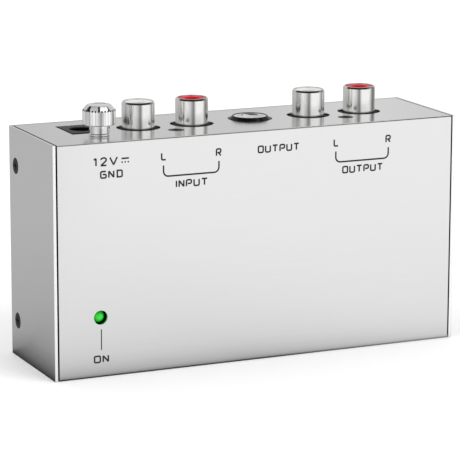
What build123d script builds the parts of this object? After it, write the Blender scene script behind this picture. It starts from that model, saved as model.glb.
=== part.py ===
"""Phono preamp in a folded sheet case, standing on its narrow foot panel.

Millimetres. +Z is up, the label face looks along -Y and +X is to its right.
The origin is the centre of the foot panel's outer face.
"""
from build123d import *
import os
from math import atan2, cos, degrees, hypot, pi, radians, sin, tan

# ---------------------------------------------------------------- driving dimensions
# Case
case_length = 110.6
case_depth = 32.0
case_height = 59.0
sheet = 0.8
end_seam = 0.40
rear_seam = 0.30
label_bend_inner = 0.20
rear_bend_inner = 0.20
ear_width = 8.0
ear_drop = 13.6

# Clearances that mating features share
slip = 0.15
thread_slip = 0.05
fit_slip = 0.03
head_slip = 0.08

# Screws: shares of a screw's own size
head_rim = 0.15
point_share = 0.3
pan_round_share = 0.6
recess_arm_share = 1.15
recess_slot_share = 0.26
recess_depth_share = 0.6

# Case screws, through each end into the label shell's ears
case_screw_from_rear = 5.1
case_screw_from_edge = 9.5
case_screw_radius = 0.95
case_screw_head_radius = 2.0
case_screw_head_height = 0.75
case_screw_grip = 1.4

# Circuit board
board_thickness = 1.6
board_rear_gap = 4.4
board_end_gap = 3.0
board_top_gap = 1.0
board_bottom_gap = 4.2
tail_length = 1.2

# Board standoffs, their screws and the rubber feet
standoff_foot_gap = 4.8
standoff_rise = 7.8
standoff_flats = 5.0
board_screw_radius = 1.2
board_screw_head_radius = 2.2
board_screw_head_height = 1.3
rear_screw_head_height = 1.2
standoff_grip = 1.9
foot_radius = 4.0
foot_height = 2.0
foot_inset = 8.0
foot_edge = 0.5

# Phono sockets
phono_axis_height = 9.15
phono_pitch = 14.6
input_centre = -19.1
output_centre = 28.2
barrel_radius = 4.2
barrel_wall = 0.6
barrel_rise = 6.75
barrel_shank_step = 0.2
barrel_depth = 8.2
barrel_rim = 0.3
insulator_recess = 0.25
insulator_floor = 0.8
socket_mouth_radius = 1.8
socket_mouth_depth = 1.5
contact_inner_radius = 1.62
contact_wall = 0.36
contact_slit = 0.4
contact_slit_length = 5.0
contact_tail_radius = 0.4
phono_block_side = 6.2
phono_block_front = 5.6
phono_block_depth = 10.2
phono_collar_radius = 5.2
phono_collar_height = 0.4
phono_hole_radius = 5.55
lug_width = 2.0
lug_thickness = 0.4
lug_drop = 3.7
block_screw_forward = 7.0
block_screw_radius = 1.1
block_screw_head_radius = 1.95
block_screw_head_height = 0.75
block_screw_length = 7.5
block_boss_radius = 2.9
block_boss_depth = 8.2

# 6.35 mm output jack
phone_x = 4.85
phone_axis_height = 8.1
phone_body_width = 16.0
phone_body_front = 7.9
phone_body_depth = 32.2
phone_body_floor = 1.5
phone_nose_radius = 5.5
phone_nose_rise = 0.8
phone_nose_chamfer = 1.0
phone_bore_radius = 3.2
phone_cavity_slip = 0.3
phone_sleeve_wall = 1.0
phone_sleeve_length = 10.0
phone_sleeve_lug_drop = 6.0
phone_hole_slip = 0.2

# Contact springs of the output jack and the DC socket
leaf_thickness = 0.4
leaf_width = 2.8
bead_radius = 0.6
bead_overhang = 1.1
bead_slip = 0.08
leaf_pivot_out = 5.0
leaf_pivot_drop = 13.9
tip_touch_drop = 27.9
ring_touch_drop = 23.4
leaf_reach = 0.85
leaf_toe_drop = 2.0
leaf_toe_out = 1.4
leaf_window_slip = 0.4

# DC socket
dc_x = -40.2
dc_axis_height = 5.5
dc_body_width = 8.8
dc_body_height = 10.8
dc_body_length = 14.2
dc_bore_radius = 3.15
dc_bore_depth = 10.4
dc_pin_radius = 1.05
dc_pin_setback = 1.2
dc_pin_root_radius = 0.8
dc_pin_nose = 0.63
dc_side_gap = 0.6
dc_front_gap = 1.6
dc_rear_gap = 0.2
dc_leaf_width = 2.2
dc_leaf_pivot_out = 4.2
dc_leaf_pivot_drop = 11.6
dc_leaf_touch_drop = 6.4
dc_leaf_reach = 0.7
dc_leaf_toe_rise = 1.6

# Ground terminal
ground_x = -39.45
ground_to_dc = 4.9
stud_radius = 1.48
stud_height = 6.6
stud_shoulder_radius = 2.6
stud_shoulder_height = 1.2
stud_tail = 1.0
thread_pitch = 0.5
captive_washer_height = 0.5
captive_washer_radius = 2.6
captive_washer_wall = 0.5
neck_radius = 2.6
head_base_rise = 2.8
head_height = 4.95
head_radius = 4.15
crown_height = 1.3
crown_inset = 1.15
knurl_count = 32
knurl_radius = 0.2
knurl_top_gap = 1.05
tag_thickness = 0.5
tag_radius = 3.0
tag_length = 8.2
tag_width = 2.6
lock_washer_height = 0.6
lock_washer_radius = 2.9
lock_washer_split = 0.42
hex_nut_height = 2.4
hex_nut_flats = 5.5
wire_radius = 0.6
wire_bare_radius = 0.35
wire_from_tip = 1.3
wire_drop = 17.0
wire_bend_share = 0.45

# Power light
led_x = -43.15
led_rise = 15.2
led_radius = 1.5
led_hole_radius = 1.8
led_setback = 0.5
led_body_length = 3.8
led_flange_radius = 1.9
led_flange_thickness = 0.9
led_lead_pitch = 1.27
led_lead_radius = 0.25
led_spacer_radius = 2.2

# Parts on the circuit board
lead_radius = 0.3
lead_slip = 0.06
signal_cap_radius = 2.5
signal_cap_length = 11.0
supply_cap_radius = 4.0
supply_cap_length = 12.0
cap_lead_pitch = 2.0
cap_groove = 0.25
cap_groove_height = 1.7
cap_gap = 1.6
film_length = 7.2
film_thickness = 2.8
film_height = 6.5
film_round = 0.55
disc_radius = 2.2
disc_thickness = 1.8
disc_round = 0.54
axial_radius = 1.1
axial_length = 6.2
axial_span = 10.0
axial_lift = 0.3
axial_round_share = 0.3
lead_inset = 1.2
resistor_pitch = 4.4
resistor_count = 12
diode_radius = 1.35
diode_length = 5.2
op_amp_length = 9.4
op_amp_width = 6.4
op_amp_height = 3.3
op_amp_stand = 0.5
op_amp_notch_radius = 0.8
op_amp_pin_pitch = 2.54
op_amp_pin_width = 0.5
op_amp_pin_thickness = 0.25
regulator_width = 4.6
regulator_depth = 3.6
regulator_height = 4.8
regulator_stand = 1.2

# ---------------------------------------------------------------- shared places
half_length = case_length / 2
label_y = -case_depth / 2
rear_y = case_depth / 2
inner_label_y = label_y + sheet
inner_rear_y = rear_y - sheet
panel_top = case_height
panel_inner = case_height - sheet
shell_half = half_length - sheet - end_seam
ear_inner = shell_half - sheet

board_back = inner_rear_y - board_rear_gap
board_front = board_back - board_thickness
board_half = ear_inner - board_end_gap
board_bottom = sheet + board_bottom_gap
board_top = panel_inner - board_top_gap
tail_end = board_back + tail_length

phono_y = board_front - phono_axis_height
phone_y = board_front - phone_axis_height
case_screw_y = rear_y - case_screw_from_rear
case_screw_heights = (case_screw_from_edge, case_height - case_screw_from_edge)

block_bottom = panel_inner - phono_block_depth
barrel_bottom = panel_inner - barrel_depth
barrel_top = panel_top + barrel_rise
barrel_inner = barrel_radius - barrel_wall
barrel_step_z = panel_inner + phono_collar_height
barrel_shank = barrel_radius - barrel_shank_step
insulator_radius = barrel_inner - thread_slip
insulator_bottom = barrel_bottom + insulator_floor
insulator_top = barrel_top - insulator_recess
contact_outer = contact_inner_radius + contact_wall
contact_bottom = insulator_bottom + insulator_floor
contact_top = insulator_top - socket_mouth_depth
contact_tail_z = block_bottom + contact_tail_radius + slip
phono_lug_z = panel_inner - lug_drop
block_screw_y = phono_y - block_screw_forward

phone_top = panel_top + phone_nose_rise
phone_bottom = panel_inner - phone_body_depth
phone_floor = phone_bottom + phone_body_floor
sleeve_bottom = phone_top - phone_sleeve_length
sleeve_outer = phone_bore_radius + phone_sleeve_wall
sleeve_lug_z = phone_top - phone_sleeve_lug_drop
leaf_pivot_z = panel_top - leaf_pivot_drop

dc_y = board_front - dc_axis_height
dc_front = board_front - dc_body_height
dc_bottom = panel_top - dc_body_length
dc_floor = panel_top - dc_bore_depth
dc_leaf_pivot_z = panel_top - dc_leaf_pivot_drop
dc_pin_tail_z = dc_bottom + dc_pin_root_radius

ground_y = dc_front - ground_to_dc
nut_bore = stud_radius + thread_slip
spigot_radius = captive_washer_radius - captive_washer_wall - thread_slip
neck_bottom = panel_top + captive_washer_height
head_bottom = panel_top + head_base_rise
head_top = head_bottom + head_height
crown_bottom = head_top - crown_height
stud_top = panel_top + stud_height
tag_top = panel_inner - stud_shoulder_height
washer_top = tag_top - tag_thickness
hex_nut_top = washer_top - lock_washer_height
stud_bottom = hex_nut_top - hex_nut_height - stud_tail
wire_x = ground_x - tag_length + wire_from_tip

led_front = label_y + led_setback
led_back = led_front + led_body_length

standoff_z = sheet + standoff_rise
standoff_x = half_length - foot_inset - foot_radius - standoff_foot_gap - board_screw_head_radius
standoff_places = ((-standoff_x, standoff_z), (standoff_x, standoff_z))
foot_places = [
    (side * (half_length - foot_inset), height)
    for side in (-1, 1)
    for height in (foot_inset, case_height - foot_inset)
]

phono_modules = {"input": input_centre, "output": output_centre}
sides = {"left": -phono_pitch / 2, "right": phono_pitch / 2}
axial_y = board_front - axial_lift - axial_radius
resistor_z = board_bottom + axial_span / 2 + lead_inset


# ---------------------------------------------------------------- plain solids
def slab(x_low, x_high, y_low, y_high, z_low, z_high):
    """Rectangular block between two corners."""
    centre = Pos((x_low + x_high) / 2, (y_low + y_high) / 2, (z_low + z_high) / 2)
    return centre * Box(x_high - x_low, y_high - y_low, z_high - z_low)


def rod_x(y, z, x_low, x_high, radius):
    """Round bar along X."""
    return Pos((x_low + x_high) / 2, y, z) * Rot(0, 90, 0) * Cylinder(radius, x_high - x_low)


def rod_y(x, z, y_low, y_high, radius):
    """Round bar along Y."""
    return Pos(x, (y_low + y_high) / 2, z) * Rot(90, 0, 0) * Cylinder(radius, y_high - y_low)


def rod_z(x, y, z_low, z_high, radius):
    """Round bar along Z."""
    return Pos(x, y, (z_low + z_high) / 2) * Cylinder(radius, z_high - z_low)


def tube_z(x, y, z_low, z_high, outer, inner):
    """Round tube along Z."""
    return rod_z(x, y, z_low, z_high, outer) - rod_z(x, y, z_low - 1, z_high + 1, inner)


def hex_bar(flats, length):
    """Hexagonal bar along Z, standing on z = 0."""
    return extrude(RegularPolygon(flats / 2, 6, major_radius=False), length)


def cross_recess(head_radius, depth):
    """Cross-shaped recess, centred on z = 0."""
    arm = head_radius * recess_arm_share
    slot = head_radius * recess_slot_share
    return Box(arm, slot, 2 * depth) + Box(slot, arm, 2 * depth)


def countersunk_head(radius, head_radius, head_height, rim_top):
    """Cone of a countersunk head below z = 0, under a round rim that ends at rim_top."""
    cone_height = head_height - head_rim
    cone = Pos(0, 0, -head_rim - cone_height / 2) * Cone(radius, head_radius, cone_height)
    return cone + rod_z(0, 0, -head_rim, rim_top, head_radius)


def flat_screw(radius, length, head_radius, head_height):
    """Cross-head screw along Z with a countersunk head, whose top lies at z = 0."""
    shank = rod_z(0, 0, -length, -head_height / 2, radius)
    shank = chamfer(shank.edges().group_by(Axis.Z)[0], radius * point_share)
    head = countersunk_head(radius, head_radius, head_height, 0)
    return head + shank - cross_recess(head_radius, head_height * recess_depth_share)


def countersink(radius, head_radius, head_height, depth):
    """Clearance hole for a flat screw, to be cut from a sheet whose face is at z = 0."""
    seat = countersunk_head(radius + slip, head_radius + head_slip, head_height, 1)
    return seat + rod_z(0, 0, -depth, 0, radius + slip)


def pan_screw(radius, length, head_radius, head_height):
    """Cross-head screw along Z: its head stands on z = 0 and its shank hangs below."""
    head = rod_z(0, 0, 0, head_height, head_radius)
    head = fillet(head.edges().group_by(Axis.Z)[-1], head_height * pan_round_share)
    shank = rod_z(0, 0, -length, 0, radius)
    shank = chamfer(shank.edges().group_by(Axis.Z)[0], radius * point_share)
    return head + shank - Pos(0, 0, head_height) * cross_recess(head_radius, head_height * recess_depth_share)


def bent_strip(points, thickness, low, high):
    """Sheet-metal strip that follows points of (u, z), from low to high along Y, with u along X."""
    strip = None
    for (u0, z0), (u1, z1) in zip(points, points[1:]):
        run = hypot(u1 - u0, z1 - z0)
        tilt = degrees(atan2(u1 - u0, z1 - z0))
        middle = Pos((u0 + u1) / 2, (low + high) / 2, (z0 + z1) / 2)
        piece = middle * Rot(0, tilt, 0) * Box(thickness, high - low, run)
        strip = piece if strip is None else strip + piece
    for u, z in points[1:]:
        strip += rod_y(u, z, low, high, thickness / 2)
    return strip


def contact_leaf(points, width):
    """Sprung contact: a bent strip that hangs on a rolled bead at its first point."""
    u, z = points[0]
    bead_half = width / 2 + bead_overhang
    bead = rod_y(u, z, -bead_half, bead_half, bead_radius)
    return bead + bent_strip(points, leaf_thickness, -width / 2, width / 2)


# ---------------------------------------------------------------- case
def label_shell():
    """Folded sheet with the label face, the connector panel, the foot panel and four ears."""
    bend = label_bend_inner + sheet
    panel_rear = inner_rear_y - rear_seam
    outer = slab(-shell_half, shell_half, label_y, panel_rear, 0, case_height)
    outer = fillet(outer.edges().filter_by(Axis.X).group_by(Axis.Y)[0], bend)
    hollow = slab(-shell_half - 1, shell_half + 1, inner_label_y, panel_rear + 1, sheet, panel_inner)
    hollow = fillet(hollow.edges().filter_by(Axis.X).group_by(Axis.Y)[0], label_bend_inner)
    shell = outer - hollow

    for side in (-1, 1):
        x_low, x_high = sorted((side * ear_inner, side * shell_half))
        ear_front = panel_rear - ear_width
        shell += slab(x_low, x_high, ear_front, panel_rear, sheet, sheet + ear_drop)
        shell += slab(x_low, x_high, ear_front, panel_rear, panel_inner - ear_drop, panel_inner)
    ear_thread = case_screw_radius + thread_slip
    for height in case_screw_heights:
        shell -= rod_x(case_screw_y, height, -shell_half - 1, shell_half + 1, ear_thread)

    low, high = panel_inner - 1, panel_top + 1
    holes = [rod_z(phone_x, phone_y, low, high, phone_nose_radius + phone_hole_slip)]
    holes.append(rod_z(ground_x, ground_y, low, high, stud_radius + slip))
    seat = countersink(block_screw_radius, block_screw_head_radius, block_screw_head_height, sheet + 1)
    for centre in phono_modules.values():
        holes.append(Pos(centre, block_screw_y, panel_top) * seat)
        for offset in sides.values():
            holes.append(rod_z(centre + offset, phono_y, low, high, phono_hole_radius))
    dc_half = dc_body_width / 2 + dc_side_gap
    cut_front, cut_rear = dc_front - dc_front_gap, board_front + dc_rear_gap
    holes.append(slab(dc_x - dc_half, dc_x + dc_half, cut_front, cut_rear, low, high))
    holes.append(rod_y(led_x, led_rise, label_y - 1, inner_label_y + 1, led_hole_radius))
    return shell - holes


def rear_shell():
    """Folded sheet with the rear face and both ends."""
    outer = slab(-half_length, half_length, label_y, rear_y, 0, case_height)
    outer = fillet(outer.edges().filter_by(Axis.Z).group_by(Axis.Y)[-1], rear_bend_inner + sheet)
    inner_half = half_length - sheet
    hollow = slab(-inner_half, inner_half, label_y - 1, inner_rear_y, -1, case_height + 1)
    hollow = fillet(hollow.edges().filter_by(Axis.Z).group_by(Axis.Y)[-1], rear_bend_inner)
    shell = outer - hollow
    seat = countersink(case_screw_radius, case_screw_head_radius, case_screw_head_height, sheet + 1)
    holes = [place * seat for place in case_screw_places()]
    holes += [
        rod_y(x, z, inner_rear_y - 1, rear_y + 1, board_screw_radius + slip) for x, z in standoff_places
    ]
    return shell - holes


def case_screw_places():
    """Places of the case screws' head tops, with Z pointing out of each end."""
    return [
        Pos(side * half_length, case_screw_y, height) * Rot(0, side * 90, 0)
        for side in (-1, 1)
        for height in case_screw_heights
    ]


def case_screws():
    """Four black screws, flush with the outside of the ends."""
    length = sheet + end_seam + sheet + case_screw_grip
    screw = flat_screw(case_screw_radius, length, case_screw_head_radius, case_screw_head_height)
    return [place * screw for place in case_screw_places()]


def rubber_feet():
    """Four round feet on the rear face."""
    feet = []
    for x, z in foot_places:
        foot = rod_y(x, z, rear_y, rear_y + foot_height, foot_radius)
        feet.append(chamfer(foot.edges().group_by(Axis.Y)[-1], foot_edge))
    return feet


# ---------------------------------------------------------------- board and its fixings
def board_standoffs():
    """Hexagonal threaded spacers between the board and the rear face."""
    length = inner_rear_y - board_back
    spacer = hex_bar(standoff_flats, length)
    spacer -= Cylinder(board_screw_radius + thread_slip, 3 * length)
    return [Pos(x, inner_rear_y, z) * Rot(90, 0, 0) * spacer for x, z in standoff_places]


def board_screws():
    """Screws from the component side of the board into the standoffs."""
    length = board_thickness + standoff_grip
    screw = pan_screw(board_screw_radius, length, board_screw_head_radius, board_screw_head_height)
    return [Pos(x, board_front, z) * Rot(90, 0, 0) * screw for x, z in standoff_places]


def rear_screws():
    """Screws from outside the rear face into the standoffs."""
    length = sheet + standoff_grip
    screw = pan_screw(board_screw_radius, length, board_screw_head_radius, rear_screw_head_height)
    return [Pos(x, rear_y, z) * Rot(-90, 0, 0) * screw for x, z in standoff_places]


# ---------------------------------------------------------------- phono sockets
def phono_block(centre):
    """Moulded housing of two phono sockets, with a collar round each barrel and a screw boss."""
    left, right = (centre + offset for offset in sides.values())
    front = phono_y - phono_block_front
    block = slab(
        left - phono_block_side, right + phono_block_side, front, board_front, block_bottom, panel_inner
    )
    boss_bottom = panel_inner - block_boss_depth
    boss = rod_z(centre, block_screw_y, boss_bottom, panel_inner, block_boss_radius)
    web = slab(
        centre - block_boss_radius, centre + block_boss_radius, block_screw_y, front, boss_bottom, panel_inner
    )
    block += boss + web
    pilot_bottom = panel_top - block_screw_length - slip
    cuts = [rod_z(centre, block_screw_y, pilot_bottom, panel_top, block_screw_radius + thread_slip)]
    passage = contact_tail_radius + slip
    for x in (left, right):
        block += rod_z(x, phono_y, panel_inner, panel_inner + phono_collar_height, phono_collar_radius)
        cuts.append(rod_z(x, phono_y, barrel_bottom, panel_top, barrel_shank + fit_slip))
        cuts.append(rod_z(x, phono_y, contact_tail_z, barrel_bottom + 1, passage))
        cuts.append(slab(
            x - passage, x + passage, phono_y - passage, board_front + 1, block_bottom - 1,
            contact_tail_z + passage,
        ))
        cuts.append(slab(
            x - lug_width / 2 - slip, x + lug_width / 2 + slip, phono_y, board_front + 1,
            phono_lug_z - lug_thickness / 2 - slip, phono_lug_z + lug_thickness / 2 + slip,
        ))
    return block - cuts


def phono_barrel(x):
    """Turned outer contact of a phono socket, with its solder lug."""
    barrel = rod_z(x, phono_y, barrel_step_z, barrel_top, barrel_radius)
    barrel = fillet(barrel.edges().group_by(Axis.Z)[-1], barrel_rim)
    barrel += rod_z(x, phono_y, barrel_bottom, barrel_step_z, barrel_shank)
    barrel -= rod_z(x, phono_y, barrel_bottom - 1, barrel_top + 1, barrel_inner)
    lug = slab(
        x - lug_width / 2, x + lug_width / 2, phono_y + (barrel_inner + barrel_shank) / 2, tail_end,
        phono_lug_z - lug_thickness / 2, phono_lug_z + lug_thickness / 2,
    )
    return barrel + lug


def phono_insulator(x):
    """Coloured insulating plug that fills the barrel and takes the centre contact."""
    plug = rod_z(x, phono_y, insulator_bottom, insulator_top, insulator_radius)
    plug -= rod_z(x, phono_y, contact_bottom, insulator_top + 1, socket_mouth_radius)
    plug -= rod_z(x, phono_y, contact_bottom, contact_top + slip, contact_outer + fit_slip)
    return plug - rod_z(x, phono_y, insulator_bottom - 1, contact_bottom + 1, contact_tail_radius + slip)


def phono_contact(x):
    """Rolled centre contact, slit at its mouth, with its solder tail."""
    contact = rod_z(x, phono_y, contact_bottom, contact_top, contact_outer)
    contact -= rod_z(x, phono_y, contact_bottom + contact_wall, contact_top + 1, contact_inner_radius)
    slit_bottom = contact_top - contact_slit_length
    reach, half_slit = contact_outer + 1, contact_slit / 2
    contact -= slab(
        x - reach, x + reach, phono_y - half_slit, phono_y + half_slit, slit_bottom, contact_top + 1
    )
    contact += rod_z(x, phono_y, contact_tail_z, contact_bottom + contact_wall / 2, contact_tail_radius)
    contact += Pos(x, phono_y, contact_tail_z) * Sphere(contact_tail_radius)
    return contact + rod_y(x, contact_tail_z, phono_y, tail_end, contact_tail_radius)


def block_screw(centre):
    """Screw that fixes a phono module to the connector panel."""
    screw = flat_screw(
        block_screw_radius, block_screw_length, block_screw_head_radius, block_screw_head_height
    )
    return Pos(centre, block_screw_y, panel_top) * screw


# ---------------------------------------------------------------- 6.35 mm output jack
def leaf_points(side, touch_drop):
    """Path of a jack spring on one side of the bore: pivot, point of touch, toe."""
    touch = phone_bore_radius - leaf_reach + leaf_thickness / 2
    touch_z = panel_top - touch_drop
    return [
        (side * leaf_pivot_out, leaf_pivot_z),
        (side * touch, touch_z),
        (side * (touch + leaf_toe_out), touch_z - leaf_toe_drop),
    ]


def phone_leaf(side, touch_drop):
    """Contact spring of the output jack."""
    return Pos(phone_x, phone_y, 0) * contact_leaf(leaf_points(side, touch_drop), leaf_width)


def phone_jack_body():
    """Moulded body of the output jack, with its nose, bore, spring windows and terminal holes."""
    half = phone_body_width / 2
    body = slab(
        phone_x - half, phone_x + half, phone_y - phone_body_front, board_front, phone_bottom, panel_inner
    )
    shoulder = phone_top - phone_nose_chamfer
    body += rod_z(phone_x, phone_y, panel_inner - 1, shoulder, phone_nose_radius)
    cone = Cone(phone_nose_radius, phone_nose_radius - phone_nose_chamfer, phone_nose_chamfer)
    body += Pos(phone_x, phone_y, (shoulder + phone_top) / 2) * cone
    cuts = [
        rod_z(phone_x, phone_y, sleeve_bottom, phone_top + 1, sleeve_outer + fit_slip),
        rod_z(phone_x, phone_y, phone_floor, sleeve_bottom + 1, phone_bore_radius + phone_cavity_slip),
    ]
    cuts.append(slab(
        phone_x - lug_width / 2 - slip, phone_x + lug_width / 2 + slip, phone_y, board_front + 1,
        sleeve_lug_z - lug_thickness / 2 - slip, sleeve_lug_z + lug_thickness / 2 + slip,
    ))
    window_half = leaf_width / 2 + leaf_window_slip
    bead_half = leaf_width / 2 + bead_overhang + slip
    groove_radius = bead_radius + bead_slip
    for side, touch_drop in ((1, tip_touch_drop), (-1, ring_touch_drop)):
        toe_z = panel_top - touch_drop - leaf_toe_drop
        x_low, x_high = sorted((phone_x, phone_x + side * (half + 1)))
        cuts.append(slab(
            x_low, x_high, phone_y - window_half, phone_y + window_half, toe_z - 1,
            leaf_pivot_z + bead_radius + leaf_window_slip,
        ))
        pivot_x = phone_x + side * leaf_pivot_out
        cuts.append(rod_y(pivot_x, leaf_pivot_z, phone_y - bead_half, phone_y + bead_half, groove_radius))
        cuts.append(rod_y(pivot_x, leaf_pivot_z, phone_y, board_front + 1, contact_tail_radius + fit_slip))
    return body - cuts


def phone_jack_sleeve():
    """Bright sleeve contact that lines the mouth of the bore, with its solder lug."""
    sleeve = tube_z(phone_x, phone_y, sleeve_bottom, phone_top, sleeve_outer, phone_bore_radius)
    lug = slab(
        phone_x - lug_width / 2, phone_x + lug_width / 2, phone_y + sleeve_outer - phone_sleeve_wall / 2,
        tail_end, sleeve_lug_z - lug_thickness / 2, sleeve_lug_z + lug_thickness / 2,
    )
    return sleeve + lug


def phone_jack_terminals():
    """Solder pins that meet the ends of the springs' beads."""
    start = phone_y + leaf_width / 2 + bead_overhang + slip
    return [
        rod_y(phone_x + side * leaf_pivot_out, leaf_pivot_z, start, tail_end, contact_tail_radius)
        for side in (-1, 1)
    ]


# ---------------------------------------------------------------- DC socket
def dc_leaf_path():
    """Path of the DC socket's spring in (distance from the axis towards the board, z)."""
    touch = dc_bore_radius - dc_leaf_reach + leaf_thickness / 2
    touch_z = panel_top - dc_leaf_touch_drop
    return [
        (dc_leaf_pivot_out, dc_leaf_pivot_z),
        (touch, touch_z),
        (touch + dc_leaf_reach, touch_z + dc_leaf_toe_rise),
    ]


def dc_barrel_spring():
    """Spring that presses on the plug's barrel from the board's side."""
    return Pos(dc_x, dc_y, 0) * Rot(0, 0, 90) * contact_leaf(dc_leaf_path(), dc_leaf_width)


def dc_jack_body():
    """Moulded body of the DC socket, flush with the connector panel."""
    half = dc_body_width / 2
    body = slab(dc_x - half, dc_x + half, dc_front, board_front, dc_bottom, panel_top)
    window_half = dc_leaf_width / 2 + leaf_window_slip
    toe_z = panel_top - dc_leaf_touch_drop + dc_leaf_toe_rise
    bead_half = dc_leaf_width / 2 + bead_overhang + slip
    pivot_y = dc_y + dc_leaf_pivot_out
    groove_radius = bead_radius + bead_slip
    cuts = [
        rod_z(dc_x, dc_y, dc_floor, panel_top + 1, dc_bore_radius),
        rod_z(dc_x, dc_y, dc_pin_tail_z, dc_floor + 1, dc_pin_root_radius + fit_slip),
        rod_y(dc_x, dc_pin_tail_z, dc_y, board_front + 1, contact_tail_radius + fit_slip),
        Pos(dc_x, dc_y, dc_pin_tail_z) * Sphere(dc_pin_root_radius + fit_slip),
        slab(
            dc_x - window_half, dc_x + window_half, dc_y, board_front + 1,
            dc_leaf_pivot_z - bead_radius - leaf_window_slip, toe_z + leaf_window_slip,
        ),
        rod_x(pivot_y, dc_leaf_pivot_z, dc_x - bead_half, dc_x + bead_half, groove_radius),
    ]
    return body - cuts


def dc_centre_pin():
    """Centre pin of the DC socket, with its solder tail."""
    top = panel_top - dc_pin_setback
    pin = rod_z(dc_x, dc_y, dc_floor, top, dc_pin_radius)
    pin = fillet(pin.edges().group_by(Axis.Z)[-1], dc_pin_nose)
    pin += rod_z(dc_x, dc_y, dc_pin_tail_z, dc_floor, dc_pin_root_radius)
    pin += Pos(dc_x, dc_y, dc_pin_tail_z) * Sphere(dc_pin_root_radius)
    return pin + rod_y(dc_x, dc_pin_tail_z, dc_y, tail_end, contact_tail_radius)


# ---------------------------------------------------------------- ground terminal
def ground_stud():
    """Threaded stud, clinched into the connector panel by its shoulder."""
    stud = rod_z(ground_x, ground_y, stud_bottom, stud_top, stud_radius)
    stud = chamfer(stud.edges().group_by(Axis.Z)[-1], thread_pitch / 2)
    return stud + rod_z(ground_x, ground_y, tag_top, panel_inner, stud_shoulder_radius)


def ground_captive_washer():
    """Washer that turns freely on the thumb nut's spigot and clamps the ground lead."""
    bottom, top = panel_top, neck_bottom
    return tube_z(ground_x, ground_y, bottom, top, captive_washer_radius,
                  captive_washer_radius - captive_washer_wall)


def ground_thumb_nut():
    """Knurled thumb nut with a round neck, a spigot for the washer and a blind thread."""
    head = rod_z(ground_x, ground_y, head_bottom, crown_bottom, head_radius)
    crown = Cone(head_radius, head_radius - crown_inset, crown_height)
    head += Pos(ground_x, ground_y, (crown_bottom + head_top) / 2) * crown
    notches = [
        rod_z(
            ground_x + head_radius * cos(2 * pi * index / knurl_count),
            ground_y + head_radius * sin(2 * pi * index / knurl_count),
            head_bottom - 1, head_top - knurl_top_gap, knurl_radius,
        )
        for index in range(knurl_count)
    ]
    nut = head - notches
    nut += rod_z(ground_x, ground_y, neck_bottom, head_bottom + 0.5, neck_radius)
    nut += rod_z(ground_x, ground_y, panel_top + thread_slip, neck_bottom + 0.5, spigot_radius)
    return nut - rod_z(ground_x, ground_y, panel_top - 1, stud_top + slip, nut_bore)


def ground_solder_tag():
    """Flat tag under the stud's shoulder, reaching to the ground wire."""
    tag = rod_z(ground_x, ground_y, washer_top, tag_top, tag_radius)
    tip = ground_x - tag_length
    tag += slab(tip, ground_x, ground_y - tag_width / 2, ground_y + tag_width / 2, washer_top, tag_top)
    return tag - rod_z(ground_x, ground_y, washer_top - 1, tag_top + 1, stud_radius + thread_slip)


def ground_lock_washer():
    """Split spring washer between the tag and the hexagon nut."""
    ring = tube_z(ground_x, ground_y, hex_nut_top, washer_top, lock_washer_radius, stud_radius + slip)
    half_split = lock_washer_split / 2
    return ring - slab(
        ground_x, ground_x + lock_washer_radius + 1, ground_y - half_split, ground_y + half_split,
        hex_nut_top - 1, washer_top + 1,
    )


def ground_hex_nut():
    """Hexagon nut that clamps the tag against the stud's shoulder."""
    nut = Pos(ground_x, ground_y, hex_nut_top - hex_nut_height) * hex_bar(hex_nut_flats, hex_nut_height)
    return nut - rod_z(ground_x, ground_y, stud_bottom - 1, panel_inner, stud_radius + thread_slip)


def ground_wire():
    """Insulated wire from under the tag down to the board, with a bare end through it."""
    bend_z = washer_top - wire_drop
    path = [(wire_x, ground_y, washer_top), (wire_x, ground_y, bend_z), (wire_x, board_front, bend_z)]
    shorter_run = min(wire_drop, board_front - ground_y)
    bend = wire_bend_share * shorter_run / tan(radians(90 / 2))
    line = FilletPolyline(*path, radius=bend)
    section = Plane(path[0], z_dir=(0, 0, -1)) * Circle(wire_radius)
    wire = sweep(section, path=line)
    return wire + rod_y(wire_x, bend_z, board_front - wire_bare_radius, tail_end, wire_bare_radius)


# ---------------------------------------------------------------- power light
def led_lens():
    """Domed green light, pointing out of the label face."""
    dome = Pos(led_x, led_front + led_radius, led_rise) * Sphere(led_radius)
    barrel = rod_y(led_x, led_rise, led_front + led_radius, led_back, led_radius)
    flange = rod_y(led_x, led_rise, led_back - led_flange_thickness, led_back, led_flange_radius)
    return dome + barrel + flange


def led_lead_places():
    """Centres of the two leads."""
    return [(led_x + side * led_lead_pitch, led_rise) for side in (-0.5, 0.5)]


def led_leads():
    """Two leads from the light through the spacer and the board."""
    return [rod_y(x, z, led_back, tail_end, led_lead_radius) for x, z in led_lead_places()]


def led_spacer():
    """Plastic spacer that holds the light off the board."""
    spacer = rod_y(led_x, led_rise, led_back, board_front, led_spacer_radius)
    hole = led_lead_radius + lead_slip
    return spacer - [rod_y(x, z, led_back - 1, board_front + 1, hole) for x, z in led_lead_places()]


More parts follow.
